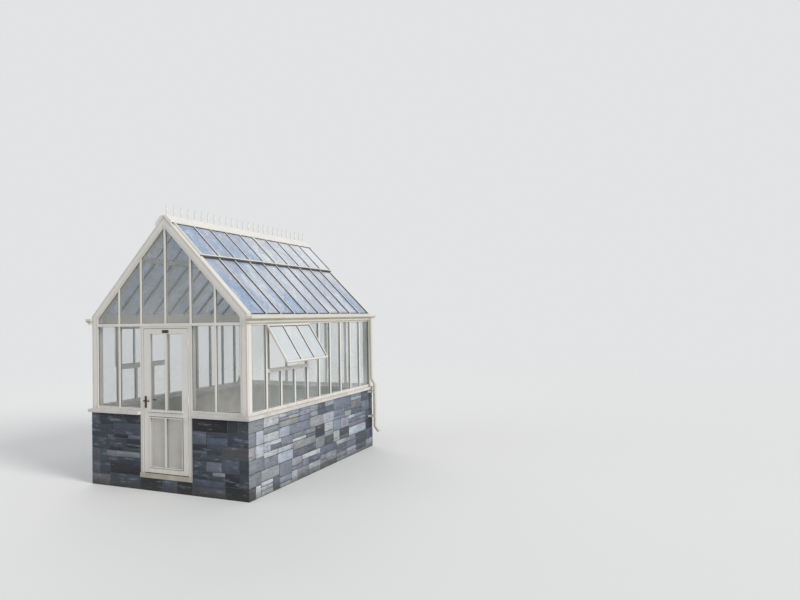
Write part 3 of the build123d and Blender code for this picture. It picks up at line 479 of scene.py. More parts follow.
def stone_faces(rows, joint, rounding, seed):
    """Points and faces of the stones, and the row of each point.

    Along a stone, stations run from its back edge over a rounded edge and across its face. A
    station's depth behind the wall's face is the root of the squares of the drops of its row and
    its column, plus a riven unevenness. From a corner of the house, a distance s along the wall
    becomes (root(s^2 + r^2) - s) / 2 back along one side and (root(s^2 + r^2) + s) / 2 on along the
    other, a hyperbola that rounds the arris, and each of the two is at least the depth.
    """
    rng = np.random.default_rng(seed)
    table = np.array([row[:5] for row in rows], float)
    quoin = np.array([row[6] for row in rows])
    corners = np.array(CORNERS)
    ahead = np.roll(corners, -1, axis=0) - corners
    ahead /= np.linalg.norm(ahead, axis=1)[:, None]
    behind = np.roll(ahead, 1, axis=0)
    all_points = []
    all_faces = []
    all_rows = []
    start = 0
    for is_quoin in (0, 1):
        chosen = np.flatnonzero(quoin == is_quoin)
        part = table[chosen]
        corner = part[:, 0].astype(int)
        gap = joint * rng.uniform(0.35, 0.65, (len(part), 4))
        left = part[:, 1] + gap[:, 0]
        right = part[:, 2] - gap[:, 1]
        low = part[:, 3] + gap[:, 2]
        high = part[:, 4] - gap[:, 3]
        edge = rounding * rng.uniform(0.7, 1.3, len(part))
        if is_quoin:
            along = [left, left, left + edge, left / 2, -edge, -0.25 * edge,
                     0.25 * edge, edge, right / 2, right - edge, right, right]
        else:
            third = (right - left - 2 * edge) / 3
            along = [left, left, left + edge, left + edge + third, right - edge - third,
                     right - edge, right, right]
        drops = np.array([RIM, 1.0] + [0] * (len(along) - 4) + [1.0, RIM])
        rise = (high - low - 2 * edge) / 2
        up = [low, low, low + edge, low + edge + rise, high - edge, high, high]
        lifts = np.array([RIM, 1.0, 0, 0, 0, 1.0, RIM])
        s, z = np.broadcast_arrays(np.stack(along, axis=1)[:, :, None], np.stack(up, axis=1)[:, None])
        left, right, low, high, edge = (
            value[:, None, None] for value in (left, right, low, high, edge)
        )
        depth = np.minimum(np.hypot(drops[:, None] * edge, lifts * edge), RIM * edge)
        depth = depth + (depth < 0.5 * edge) * rng.uniform(-RIVEN, RIVEN, depth.shape)
        depth = depth + rng.uniform(0.0, PROUD, len(part))[:, None, None] + RIVEN
        u = (s - (left + right) / 2) / ((right - left) / 2)
        v = (z - (low + high) / 2) / ((high - low) / 2)
        lean = rng.uniform(-LEAN, LEAN, (4, len(part)))[:, :, None, None]
        s = s - u * v ** 4 * BOW + (lean[0] + lean[1] * u) * v
        z = z - v * u ** 4 * BOW * 0.7 + (lean[2] * (1 - u * u) * 0.5 + lean[3] * 0.5 * u) * v
        far = np.sqrt(s * s + ARRIS ** 2)
        back = np.maximum((far - s) / 2, depth)[..., None]
        on = np.maximum((far + s) / 2, depth)[..., None]
        plan = corners[corner][:, None, None] - behind[corner][:, None, None] * back
        plan = plan + ahead[corner][:, None, None] * on
        points = np.concatenate((plan, z[..., None]), axis=-1)
        count, wide, tall = z.shape
        cells = lattice(wide, tall)[:, ::-1]
        faces = cells[None] + (np.arange(count) * wide * tall)[:, None, None] + start
        all_points.append(points.reshape(-1, 3))
        all_faces.append(faces.reshape(-1, 4))
        all_rows.append(np.repeat(chosen, wide * tall))
        start += count * wide * tall
    return np.vstack(all_points), np.vstack(all_faces), np.concatenate(all_rows)


def stone_tones(rows, points, rows_of, seed):
    """A tone for each point: its stone's slate by its wall's shares, lighter or darker by a little.

    The right and back walls have more pale stones, partly as painted sunlight. A point nearer to one of
    their faces than to the front or left one is painted paler and greyer as painted sunlight, so a
    quoin is dark on its shaded side and pale on its sunny one, and less so towards the back.
    """
    rng = np.random.default_rng(seed)
    palette = np.array([colour for colour, shady, sunny in SLATES.values()])
    shares = np.array([(shady, sunny) for colour, shady, sunny in SLATES.values()])
    reach = np.cumsum(shares / shares.sum(axis=0), axis=0)
    sunny = np.array([row[5] in (1, 2) and not row[6] for row in rows]).astype(int)
    draw = rng.random(len(rows))
    chosen = (draw[:, None] > reach[:, sunny].T).sum(axis=1)
    tones = palette[chosen] * rng.uniform(*SHADES, (len(rows), 1))
    to_sun = np.minimum(RIGHT_WALL[1].x - points[:, 0], BACK_WALL[1].y - points[:, 1])
    to_shade = np.minimum(points[:, 1] - FRONT_WALL[0].y, points[:, 0] - LEFT_WALL[0].x)
    along = (FRONT_WALL[0].y, BACK_WALL[1].y)
    sunlit_paler = np.interp(points[:, 1], along, SUNLIT_PALER)[:, None]
    sunlit_greyer = np.interp(points[:, 1], along, SUNLIT_GREYER)[:, None]
    tones = tones[rows_of]
    # painted sunlight: a sunny face paler and greyer than its stone
    pale = (tones + (tones.mean(axis=1, keepdims=True) - tones) * sunlit_greyer) * sunlit_paler
    return np.where((to_sun < to_shade)[:, None], np.minimum(pale, SUNLIT_PALEST), tones)


def slate_finish():
    """Riven slate: its own tone, stains, pale veins, painted shade under the riven ledges, fine layers,
    and soil at its foot.
    """
    finish = Finish("slate")
    own = finish.node("ShaderNodeAttribute", {"attribute_name": "slate_tone"}, output="Color")
    cloud = finish.noise(9.0, 5.0, 0.6)
    fine = finish.noise(70.0, 4.0, 0.65)
    layers = finish.noise(26.0, 5.0, 0.6, (1.0, 1.0, 3.2))
    rust = finish.noise(5.5, 3.0, 0.5, (1.0, 1.0, 1.6)).stepped(0.62, 0.78)
    veins = finish.noise(8.0, 8.0, 0.74, (0.5, 0.5, 2.8)).stepped(0.53, 0.68)
    ledge_shade = finish.noise(17.0, 6.0, 0.7, (0.4, 0.4, 4.5)).stepped(0.54, 0.66)
    buried = 1.0 - (finish.axis("Z") + cloud * 0.10).stepped(0.07, 0.19)
    colour = finish.stained(
        finish.shaded(own, 0.26 + cloud * 0.96 + fine * 0.54),
        (rust * 0.22, tone(112, 103, 94)),
        (veins * 0.55, tone(150, 157, 167)),
        # painted shade under the riven ledges, where the bump also dips
        (ledge_shade * 0.50, tone(40, 44, 52)),
        (buried * 0.55, tone(66, 62, 52)),
    )
    height = layers * 0.6 + fine * 0.25 + cloud * 0.4 - ledge_shade * 0.25
    return finish.surface(colour, 0.55 + cloud * 0.25, height, 0.9, 0.008, {"Specular IOR Level": 0.42})


def mortar_finish():
    """Lime mortar in the joints, and a pale rendered face inside the house."""
    finish = Finish("mortar")
    grain = finish.noise(160.0, 3.0, 0.6)
    cloud = finish.noise(6.0, 4.0, 0.6)
    mortar = finish.mix(cloud.stepped(0.3, 0.7), tone(66, 68, 72), tone(92, 93, 96))
    render = finish.mix(cloud.stepped(0.35, 0.75), tone(205, 202, 194), tone(186, 184, 174))
    inner_x = finish.axis("X").size() - (RIGHT_WALL[0].x + 0.003)
    inner_y = finish.axis("Y").size() - (BACK_WALL[0].y + 0.003)
    outside = inner_x.greater(inner_y).stepped(0.0, 0.002)
    colour = finish.mix(outside, render, mortar)
    return finish.surface(colour, 0.9, grain * 0.6 + cloud * 0.4, 0.5, 0.003)


# Finishes of the solids.
def stone_finish(name, light, dark, speckle):
    """Sawn stone with a cloudy tone, fine specks and soft stains that run down."""
    finish = Finish(name)
    cloud = finish.noise(4.0, 5.0, 0.6)
    grain = finish.noise(220.0, 3.0, 0.7)
    run = finish.noise(7.0, 4.0, 0.6, (1.0, 1.0, 0.25))
    colour = finish.stained(
        finish.mix(cloud.stepped(0.3, 0.72), light, dark),
        (grain.stepped(0.56, 0.7) * speckle, tone(104, 100, 92)),
        (run.stepped(0.56, 0.74) * 0.28, tone(120, 118, 110)),
    )
    return finish.surface(colour, 0.78 + grain * 0.14, grain * 0.5 + cloud * 0.5, 0.35, 0.002)


def paving_finish():
    """Sawn flags with narrow sanded joints, each flag a little lighter or darker."""
    finish = Finish("paving")
    flags = finish.node(
        "ShaderNodeTexBrick",
        {"offset": 0.5, "offset_frequency": 2},
        {
            "Vector": finish.place,
            "Color1": tone(186, 180, 166),
            "Color2": tone(166, 160, 148),
            "Mortar": tone(118, 112, 102),
            "Scale": 1.0,
            "Mortar Size": 0.006,
            "Mortar Smooth": 0.2,
            "Brick Width": 0.60,
            "Row Height": 0.45,
        },
        output="Color",
    )
    cloud = finish.noise(5.0, 5.0, 0.6)
    grain = finish.noise(180.0, 3.0, 0.6)
    colour = finish.shaded(flags, 0.84 + cloud * 0.3)
    return finish.surface(colour, 0.8, grain * 0.5 + cloud * 0.6, 0.3, 0.002)


def beyond(finish, middle, half, low, high):
    """Distance beyond an upright rectangle, below 0 inside it."""
    beyond_x = (finish.axis("X") - middle).size() - half
    beyond_z = (finish.axis("Z") - (low + high) / 2).size() - (high - low) / 2
    return beyond_x.greater(beyond_z)


def door_painted_shade(finish, cloud):
    """Painted shade in thin lines round the door's moulding, panels and panes and under the nosing, and
    painted shade over the recessed panels.
    """
    darkening = 1.0 - beyond(finish, 0.0, BEAD_HALF, *BEAD_Z).size().stepped(0.0030, 0.0060)
    under_nosing = beyond(finish, 0.0, NOSING_HALF, NOSING_LOW - 0.004, NOSING_LOW + 0.001)
    darkening = darkening.greater(1.0 - under_nosing.stepped(0.0, 0.003))
    by_muntin = 1.0 - finish.axis("X").size().stepped(0.026, 0.030)
    for side in (-1, 1):
        panel = beyond(finish, side * PANEL_MIDDLE, PANEL_HALF, *PANEL_Z)
        pane = beyond(finish, side * PANEL_MIDDLE, PANEL_HALF, *PANE_Z)
        round_panel = 1.0 - panel.size().stepped(0.002, 0.006)
        darkening = darkening.greater(round_panel * (0.40 + by_muntin * 0.45))
        darkening = darkening.greater((1.0 - panel.stepped(-0.020, -0.002)) * 0.42)
        darkening = darkening.greater((1.0 - pane.size().stepped(0.003, 0.008)) * 0.4)
    return darkening * (0.60 + cloud * 0.5)


def sash_moss_and_shade(finish, cloud):
    """Moss, wet dirt and painted shade on the low edge where the roof vents shed their water."""
    edge = 1.0 - finish.axis("Z").stepped(SASHES[0].z + 0.014, SASHES[0].z + 0.022)
    return edge * (0.55 + cloud * 0.6)


def gutter_shade_and_dirt(finish, cloud):
    """A dull band in the hollow of the gutter's face: painted shade in the hollow, with dirt in uneven
    streaks along it.
    """
    off = (finish.axis("Z") - (GUTTER[0].z + 0.040)).size()
    streaks = finish.noise(30.0, 4.0, 0.65, (1.0, 0.10, 1.6)).stepped(0.35, 0.70)
    return (1.0 - off.stepped(0.006, 0.024)) * (0.22 + cloud * 0.40 + streaks * 0.28)


def paint_finish(name, colour, weathering, rough, darkening=None, darkening_tone=tone(84, 82, 78)):
    """Brushed paint on timber or iron: faint brush marks, a thin film of dirt that runs down, and splashes
    above the sills and the door step.

    Another function may give the place of darker patches, from the finish and its cloudy noise: painted
    shade on the door, moss with painted shade on the roof vents, and dirt with painted shade on the
    gutters.
    """
    finish = Finish(name)
    cloud = finish.noise(3.0, 5.0, 0.6)
    brush = finish.noise(60.0, 3.0, 0.5, (1.0, 1.0, 0.12))
    run = finish.noise(22.0, 5.0, 0.65, (1.0, 1.0, 0.14))
    fine = finish.noise(140.0, 2.0, 0.5)
    dull = tuple(part * share for part, share in zip(colour, (0.80, 0.79, 0.76)))
    level = finish.axis("Z")
    on_sill = level.stepped(SILL_TOP - 0.02, SILL_TOP) * (1.0 - level.stepped(SILL_TOP, SILL_TOP + 0.15))
    at_foot = 1.0 - level.stepped(DOORWAY[1].z, DOORWAY[1].z + 0.22)
    splash = on_sill.greater(at_foot) * finish.noise(34.0, 4.0, 0.6).stepped(0.40, 0.70)
    shade = finish.stained(
        finish.mix(cloud.stepped(0.35, 0.75) * 0.30, colour, dull),
        (run.stepped(0.55, 0.80) * weathering, tone(128, 124, 108)),
        (splash * 0.30, tone(140, 138, 118)),
    )
    # darker patches from another function: painted shade, with moss on the roof vents and dirt on the
    # gutters
    if darkening:
        shade = finish.mix(darkening(finish, cloud), shade, darkening_tone)
    rough = rough + cloud * 0.14 + fine * 0.06
    height = brush * 0.7 + fine * 0.3
    return finish.surface(shade, rough, height, 0.18, 0.0012, {"Specular IOR Level": 0.45})


def bronze_finish(name, dark, light):
    """Dark bronze, rubbed lighter where cloudy noise is high."""
    finish = Finish(name)
    rubbed = finish.noise(24.0, 4.0, 0.6).stepped(0.42, 0.75) * 0.6
    fine = finish.noise(180.0, 3.0, 0.6)
    colour = finish.mix(rubbed, dark, light)
    return finish.surface(colour, 0.36 + fine * 0.2, fine, 0.15, 0.0006, {"Metallic": 0.75})


# pale tone of the painted sky reflection on the panes
SKY_REFLECTION_TONE = tone(228, 234, 238)
EDGE_BODY = 0.42               # how much more solid a pane looks at a glancing angle, where its colour is a painted reflection


def glass_finish(name, tint_and_reflection, deep_tint_and_reflection, clear, film, reflection_specks):
    """A pane: nearly clear seen square on, more solid at a glancing angle, where its colour is a painted
    reflection, with a faint film of dust.

    Its tone wanders between tint_and_reflection and deep_tint_and_reflection, with clouds of painted sky
    reflection in a pale tone over it, more of them near the ridge towards the back, and specks as strong
    as reflection_specks says. The tilted panes of the open side vent show that painted sky reflection
    all over.
    """
    finish = Finish(name)
    glance = finish.node("ShaderNodeLayerWeight", None, {"Blend": 0.5}, output="Facing")
    dust = finish.noise(2.2, 3.0, 0.55, (1.0, 1.0, 0.5)).stepped(0.4, 0.85)
    sweep = finish.noise(0.75, 4.0, 0.55, (1.0, 1.4, 1.0)).stepped(0.40, 0.62)
    streak = finish.noise(6.0, 4.0, 0.6, (1.0, 1.6, 0.4)).stepped(0.50, 0.72)
    fleck = finish.noise(15.0, 5.0, 0.68).stepped(0.44, 0.68)
    drift = finish.noise(1.7, 3.0, 0.5).stepped(0.40, 0.62)
    wave = finish.noise(2.4, 2.0, 0.4)
    raised = finish.axis("X").stepped(BAR_FACE - 0.006, BAR_FACE + 0.002)
    far = finish.axis("Y").stepped(-0.9, 1.5) * finish.axis("Z").stepped(2.9, 3.4)
    # painted sky reflection: pale clouds of sky, more near the ridge towards the back, and all over the
    # open side vent's panes
    sky_reflection = sweep * 0.55 + streak * 0.40 + fleck * reflection_specks + far * 0.70
    pale = sky_reflection.greater(raised * (0.78 + sky_reflection * 0.40))
    body = clear + glance ** 2.0 * EDGE_BODY + dust * film + sky_reflection * clear * 0.35
    colour = finish.mix(pale, finish.mix(drift, tint_and_reflection, deep_tint_and_reflection), SKY_REFLECTION_TONE)
    more = {"Alpha": body.greater(raised * 0.80), "Specular IOR Level": 0.8}
    return finish.surface(colour, 0.04 + dust * 0.08, wave, 0.08, 0.004, more)


def seal_finish(name, dark, light):
    """Weathered putty or rubber along the glass, cloudy between two tones; on the roof it also paints
    shadow lines.
    """
    finish = Finish(name)
    cloud = finish.noise(40.0, 3.0, 0.6)
    fine = finish.noise(200.0, 2.0, 0.5)
    return finish.surface(finish.mix(cloud, dark, light), 0.6 + fine * 0.2, fine, 0.2, 0.0008)


# Glazing seals.
def seal(corners, out, foot, lift):
    """A wedge of putty or rubber round a pane: a closed loop with its foot on the glass.

    The loop runs anticlockwise seen from outside, so that a profile to its left lies on the pane.
    """
    profile = [(0.0, 0.0), (0.0, lift), (-0.3 * foot, lift), (-foot, 0.0)]
    return carried(profile, corners, out, True)


def seals(panes, plane, foot, lift):
    """Seals of rectangles (left, right, low, high) on a plane: its origin, right, up and outwards."""
    origin, right, up, out = (np.asarray(part, float) for part in plane)
    loops = []
    for left, far, low, high in panes:
        corners = np.array(((left, low), (far, low), (far, high), (left, high)))
        loops.append(seal(origin + corners[:, :1] * right + corners[:, 1:] * up, out, foot, lift))
    return loops


def between(bars, first, last, half):
    """The clear widths between bars of a given half width."""
    lows = [first] + [bar + half for bar in bars]
    highs = [bar - half for bar in bars] + [last]
    return list(zip(lows, highs))


def roof_plane(side, lift):
    """Origin, right, up and outward direction of a roof slope raised by a lift, seen from outside."""
    out = np.array((side * ROOT_HALF, 0, ROOT_HALF))
    origin = np.array((side * HALF_W, 0, EAVE_Z)) + lift * out
    return origin, (0, side, 0), (-side * ROOT_HALF, 0, ROOT_HALF), out


def up_slope(x):
    """Distance up the slope from the eave to the place over x."""
    return (HALF_W - abs(x)) / ROOT_HALF


def sash_spans():
    """The clear widths between the bars of each roof sash, along the house."""
    spans = []
    middle = BARS[4]
    edge = 2 * SASH_BAR_HALF
    for low, high in ((SASHES[0].y, middle - SASH_GAP), (middle + SASH_GAP, SASHES[1].y)):
        first, last = low + SASH_STILE, high - SASH_STILE
        inside = [bar for bar in BARS if first < bar - edge and bar + edge < last]
        spans += between(inside, first, last, SASH_BAR_HALF)
    return spans


def roof_seals_and_shadow_lines():
    """Seals of the fixed roof panes and of the roof sashes, on both slopes. At the foot of each fixed pane
    by the eave, and along its top under the vents, the dark seal is a painted shadow line.
    """
    sash_low = up_slope(SASHES[1].x - SASH_T * ROOT_HALF)
    sash_high = up_slope(SASHES[0].x)
    fixed = between(BARS, -FRAME_Y + END_GAP, FRAME_Y - END_GAP, ROOF_CAP_HALF)
    panes = [(*span, PANE_FOOT, sash_low - SASH_GAP) for span in fixed]
    raised = [(*span, sash_low + SASH_RAIL, sash_high - SASH_STILE) for span in sash_spans()]
    loops = []
    for side in (-1, 1):
        loops += seals(panes, roof_plane(side, -CAP_DEPTH), *ROOF_SEAL_AND_SHADOW_LINE)
        loops += seals(raised, roof_plane(side, SASH_GLASS), *SASH_SEAL)
    return loops


def side_seals():
    """Seals of the upright side panes."""
    loops = []
    for side in (-1, 1):
        panes = []
        for low, high in between(BARS, -FRAME_Y + END_GAP, FRAME_Y - END_GAP, CAP_HALF):
            in_vent = LOW_SASH[0].y < (low + high) / 2 < LOW_SASH[1].y
            top = VENT_RAIL[0].z if in_vent else TRANSOM[0].z
            panes.append((*sorted((side * low, side * high)), RAIL[1].z, top))
        plane = (side * (BAR_FACE - CAP_DEPTH), 0, 0), (0, side, 0), (0, 0, 1), (side, 0, 0)
        loops += seals(panes, plane, *PANE_SEAL)
    return loops


def side_vent_seals():
    """Seals of the panes in both side vents, of which the right one stands open."""
    spans = between(BARS[1:3], LOW_SASH[0].y + SASH_STILE, LOW_SASH[1].y - SASH_STILE, SASH_BAR_HALF)
    foot = SASH_RAIL - (LOW_SASH[1].z - LOW_SASH[0].z)
    loops = []
    for side in (-1, 1):
        turn = SASH_OPEN if side > 0 else 0.0
        up = (-side * sin(turn), 0, cos(turn))
        out = np.array((side * cos(turn), 0, sin(turn)))
        hinge = np.array((side * BAR_FACE, 0, LOW_SASH[1].z)) + out * SASH_GLASS
        panes = [(*sorted((side * low, side * high)), foot, -SASH_STILE) for low, high in spans]
        loops += seals(panes, (hinge, (0, side, 0), up, out), *VENT_SEAL)
    return loops


def gable_seals():
    """Seals of the gable panes, those over the transom cut by the rafters."""
    low, high = TRANSOM[0].z, TRANSOM[1].z
    post = GABLE_PANES[1].x - END_GAP
    loops = []
    for side in (-1, 1):
        out = np.array((0, side, 0))
        face = side * (TRANSOM[1].y - TRANSOM_PROUD - CAP_DEPTH)
        over = between(GABLE_BARS, -post, post, CAP_HALF)
        under = [over[0], over[-1]]
        under += [(over[1][0], -DOOR_HALF), (DOOR_HALF, over[4][1])] if side < 0 else over[1:5]
        panes = [(left, right, RAIL[1].z, low, low) for left, right in under]
        for left, right in over:
            panes.append((left, right, high, RAFTER_LOW - abs(left), RAFTER_LOW - abs(right)))
        for left, right, foot, left_top, right_top in panes:
            lows = [(left, face, foot), (right, face, foot)]
            corners = np.array(lows + [(right, face, right_top), (left, face, left_top)])
            loops.append(seal(corners[::-side], out, *PANE_SEAL))
    return loops


# Small fittings.
def handle_plate_details():
    """A keyhole, a thin black boss that paints the shade in the hole, and two screw heads on the handle's
    plate, on both sides of the door.
    """
    middle = (HANDLE_PLATES[0].x + HANDLE_PLATES[1].x) / 2
    low, high = HANDLE_PLATES[0].z, HANDLE_PLATES[1].z
    keyholes = []
    heads = []
    for side, face in ((1, HANDLE_PLATES[0].y), (-1, HANDLE_PLATES[1].y)):
        right = (side, 0, 0)
        flat = [(0, -0.001), (0, 0.0004), (0.0006, 0.0008)]
        keyholes.append(boss((middle, face, low + 0.040), right, (0, 0, 1), 0.0036, 0.0036, flat))
        keyholes.append(boss((middle, face, low + 0.033), right, (0, 0, 1), 0.0018, 0.0075, flat, 6.0))
        dome = [(0, -0.001), (0, 0.0005), (0.0014, 0.0014), (0.0026, 0.0018)]
        for level in (low + 0.012, high - 0.012):
            heads.append(boss((middle, face, level), right, (0, 0, 1), 0.0042, 0.0042, dome))
    return keyholes, heads


def bracket_screws():
    """Two domed screws in the foot of every downpipe bracket."""
    middle = (BRACKETS[0].y + BRACKETS[1].y) / 2
    reach = (BRACKETS[1].y - BRACKETS[0].y) / 2 - 0.011
    dome = [(0, -0.001), (0, 0.001), (0.002, 0.0030), (0.0042, 0.0038)]
    heads = []
    for side in (-1, 1):
        face = side * (RIGHT_WALL[1].x + BRACKET_THICK)
        for level in (BRACKETS[0].z + BRACKET_HIGH / 2, BRACKETS[1].z - BRACKET_HIGH / 2):
            for y in (middle - reach, middle + reach):
                heads.append(boss((face, y, level), (0, side, 0), (0, 0, 1), 0.0065, 0.0065, dome))
    return heads


# Settings in the sidebar.
class WallSettings(bpy.types.PropertyGroup):
    joint: FloatProperty(
        name="Joint", description="Width of the mortar joints", default=0.006, unit="LENGTH",
    )
    set_back: FloatProperty(
        name="Set back", description="Mortar behind the face of the wall", default=0.007, unit="LENGTH",
    )
    rounding: FloatProperty(
        name="Rounding", description="Rounded edge of a stone", default=0.004, unit="LENGTH",
    )
    seed: IntProperty(
        name="Seed", description="Another number lays other stones", default=11,
    )


class PaintSettings(bpy.types.PropertyGroup):
    frame_paint: FloatVectorProperty(
        name="Frame", description="Paint of posts, bars and sashes", default=tone(226, 222, 214),
        subtype="COLOR", size=3,
    )
    cast_paint: FloatVectorProperty(
        name="Castings", description="Paint of the ridge capping and cresting",
        default=tone(230, 228, 221), subtype="COLOR", size=3,
    )
    gutter_paint: FloatVectorProperty(
        name="Gutters", description="Paint of gutters and downpipes", default=tone(216, 213, 199),
        subtype="COLOR", size=3,
    )
    weathering: FloatProperty(
        name="Weathering", description="Dirt that runs down the paint", default=0.12, subtype="FACTOR",
    )


class GlassSettings(bpy.types.PropertyGroup):
    pane_tint: FloatVectorProperty(
        name="Panes", description="Tint of the upright panes", default=tone(140, 156, 156),
        subtype="COLOR", size=3,
    )
    # painted sky reflection: the blue of the roof panes
    roof_reflection_tint: FloatVectorProperty(
        name="Roof panes", description="Tint of the roof panes", default=tone(177, 186, 209),
        subtype="COLOR", size=3,
    )
    pane_body: FloatProperty(
        name="Pane body", description="How solid an upright pane looks from in front", default=0.07,
        subtype="FACTOR",
    )
    roof_body: FloatProperty(
        name="Roof body", description="How solid a roof pane looks from in front", default=0.45,
        subtype="FACTOR",
    )


class FittingSettings(bpy.types.PropertyGroup):
    plate_width: FloatProperty(
        name="Plate width", description="Bare plate on the door's top rail", default=0.118, unit="LENGTH",
    )
    plate_height: FloatProperty(
        name="Plate height", description="Bare plate on the door's top rail", default=0.042, unit="LENGTH",
    )
    bronze: FloatVectorProperty(
        name="Bronze", description="Handle and its plates", default=tone(74, 62, 50),
        subtype="COLOR", size=3,
    )


class StudioSettings(bpy.types.PropertyGroup):
    key_strength: FloatProperty(
        name="Key light", description="Strength of the light from the right", default=1.95,
    )
    fill_strength: FloatProperty(
        name="Fill light", description="Strength of the light from the front left", default=0.28,
    )
    back_strength: FloatProperty(
        name="Back light", description="Strength of the light from the back left", default=0.60,
    )
    sky_strength: FloatProperty(
        name="Surround", description="Strength of the even light all round", default=0.50,
    )
    backdrop: FloatVectorProperty(
        name="Backdrop", description="Pale tone behind the house", default=(0.76, 0.77, 0.78),
        subtype="COLOR", size=3,
    )


# Operators.
class GREENHOUSE_OT_slate_walls(bpy.types.Operator):
    """Lays the slate stones of the dwarf wall on a mortar core"""
    bl_idname = "greenhouse.slate_walls"
    bl_label = "Lay slate walls"

    def execute(self, context):
        settings = context.scene.greenhouse_walls
        back = settings.set_back
        left, right = LEFT_WALL[0].x + back, RIGHT_WALL[1].x - back
        near, far = FRONT_WALL[0].y + back, BACK_WALL[1].y - back
        gap_low, gap_high = (DOORWAY[0].x, near, 0), (DOORWAY[1].x, near, 0)
        path = [gap_low, (left, near, 0), (left, far, 0), (right, far, 0), (right, near, 0), gap_high]
        thick = WALL_THICK - back
        cores = []
        for top, run in ((WALL_TOP, path), (DOORWAY[0].z, [gap_high, gap_low])):
            section = [(0, 0), (thick, 0), (thick, top), (0, top)]
            cores.append(carried(section, run, (0, 0, 1)))
        shown("wall_core", cores, "house", mortar_finish(), False)
        rows = wall_layout(settings.seed)
        points, faces, rows_of = stone_faces(rows, settings.joint, settings.rounding, settings.seed + 1)
        stones = shown("wall_stones", [(points, faces.tolist())], "house", slate_finish())
        tones = stone_tones(rows, points, rows_of, settings.seed + 2)
        attribute = stones.data.attributes.new("slate_tone", "FLOAT_COLOR", "POINT")
        attribute.data.foreach_set("color", np.column_stack((tones, np.ones(len(tones)))).ravel())
        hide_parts(*WALLS)
        return {"FINISHED"}


class GREENHOUSE_OT_stonework(bpy.types.Operator):
    """Finishes the sills, the door step and the paving inside"""
    bl_idname = "greenhouse.stonework"
    bl_label = "Finish stonework"

    def execute(self, context):
        sill = stone_finish("sill_stone", tone(212, 208, 204), tone(190, 187, 184), 0.30)
        step = stone_finish("step_stone", tone(188, 182, 168), tone(164, 158, 146), 0.4)
        dress(SILLS, sill)
        dress(("door_step",), step)
        dress(("floor_slab",), paving_finish())
        return {"FINISHED"}


class GREENHOUSE_OT_paint(bpy.types.Operator):
    """Paints the frame, the door, the castings, the gutters and the small fittings"""
    bl_idname = "greenhouse.paint"
    bl_label = "Paint frame"

    def execute(self, context):
        settings = context.scene.greenhouse_paint
        weather = settings.weathering
        timber = tuple(settings.frame_paint)
        iron = tuple(settings.gutter_paint)
        # tones of the darker patches: moss with painted shade on the roof vents, grime with painted shade
        # on the gutters
        moss_and_shade, grime_and_shade = tone(62, 70, 54), tone(112, 110, 88)
        dress(FRAME_PARTS, paint_finish("frame_paint", timber, weather, 0.36))
        # the door's paint carries painted shade round its mouldings, panels and panes and under the nosing
        dress(("door_leaf",), paint_finish("door_paint", timber, weather, 0.36, door_painted_shade))
        # the roof vents carry moss and painted shade along their low edge
        dress(ROOF_SASHES, paint_finish("sash_paint", timber, weather, 0.36, sash_moss_and_shade, moss_and_shade))
        dress(CAST_PARTS, paint_finish("cast_paint", tuple(settings.cast_paint), weather * 1.2, 0.42))
        # the gutters carry painted shade and dirt in the hollow of their face
        dress(GUTTER_PARTS, paint_finish("gutter_paint", iron, weather * 2.0, 0.26, gutter_shade_and_dirt, grime_and_shade))
        dress(PAINTED_FITTINGS, paint_finish("fittings_paint", timber, weather * 2.0, 0.4))
        return {"FINISHED"}


class GREENHOUSE_OT_glaze(bpy.types.Operator):
    """Gives the panes their glass and lays the glazing seals, with dark strips that paint shadow lines at
    the eaves and under the roof vents
    """
    bl_idname = "greenhouse.glaze"
    bl_label = "Glaze"

    def execute(self, context):
        settings = context.scene.greenhouse_glass
        clear, roof_reflection = tuple(settings.pane_tint), tuple(settings.roof_reflection_tint)
        dress(CLEAR_PANES, glass_finish(
            "pane_glass", clear, tone(132, 150, 152), settings.pane_body, 0.03, 0.10,
        ))
        # the roof panes' blue tones are a painted sky reflection
        dress(ROOF_PANES, glass_finish(
            "roof_pane_glass", roof_reflection, tone(144, 171, 207), settings.roof_body, 0.08, 0.34,
        ))
        # dark seals, which also paint shadow lines at the foot of the roof panes and under the roof vents
        dark = seal_finish("roof_seal_and_shadow_line", tone(52, 55, 62), tone(74, 78, 84))
        soft = seal_finish("pane_seal", tone(96, 96, 94), tone(124, 122, 118))
        shown("roof_seals_and_shadow_lines", roof_seals_and_shadow_lines() + side_vent_seals(), "house", dark, False)
        shown("pane_seals", side_seals() + gable_seals(), "house", soft, False)
        return {"FINISHED"}


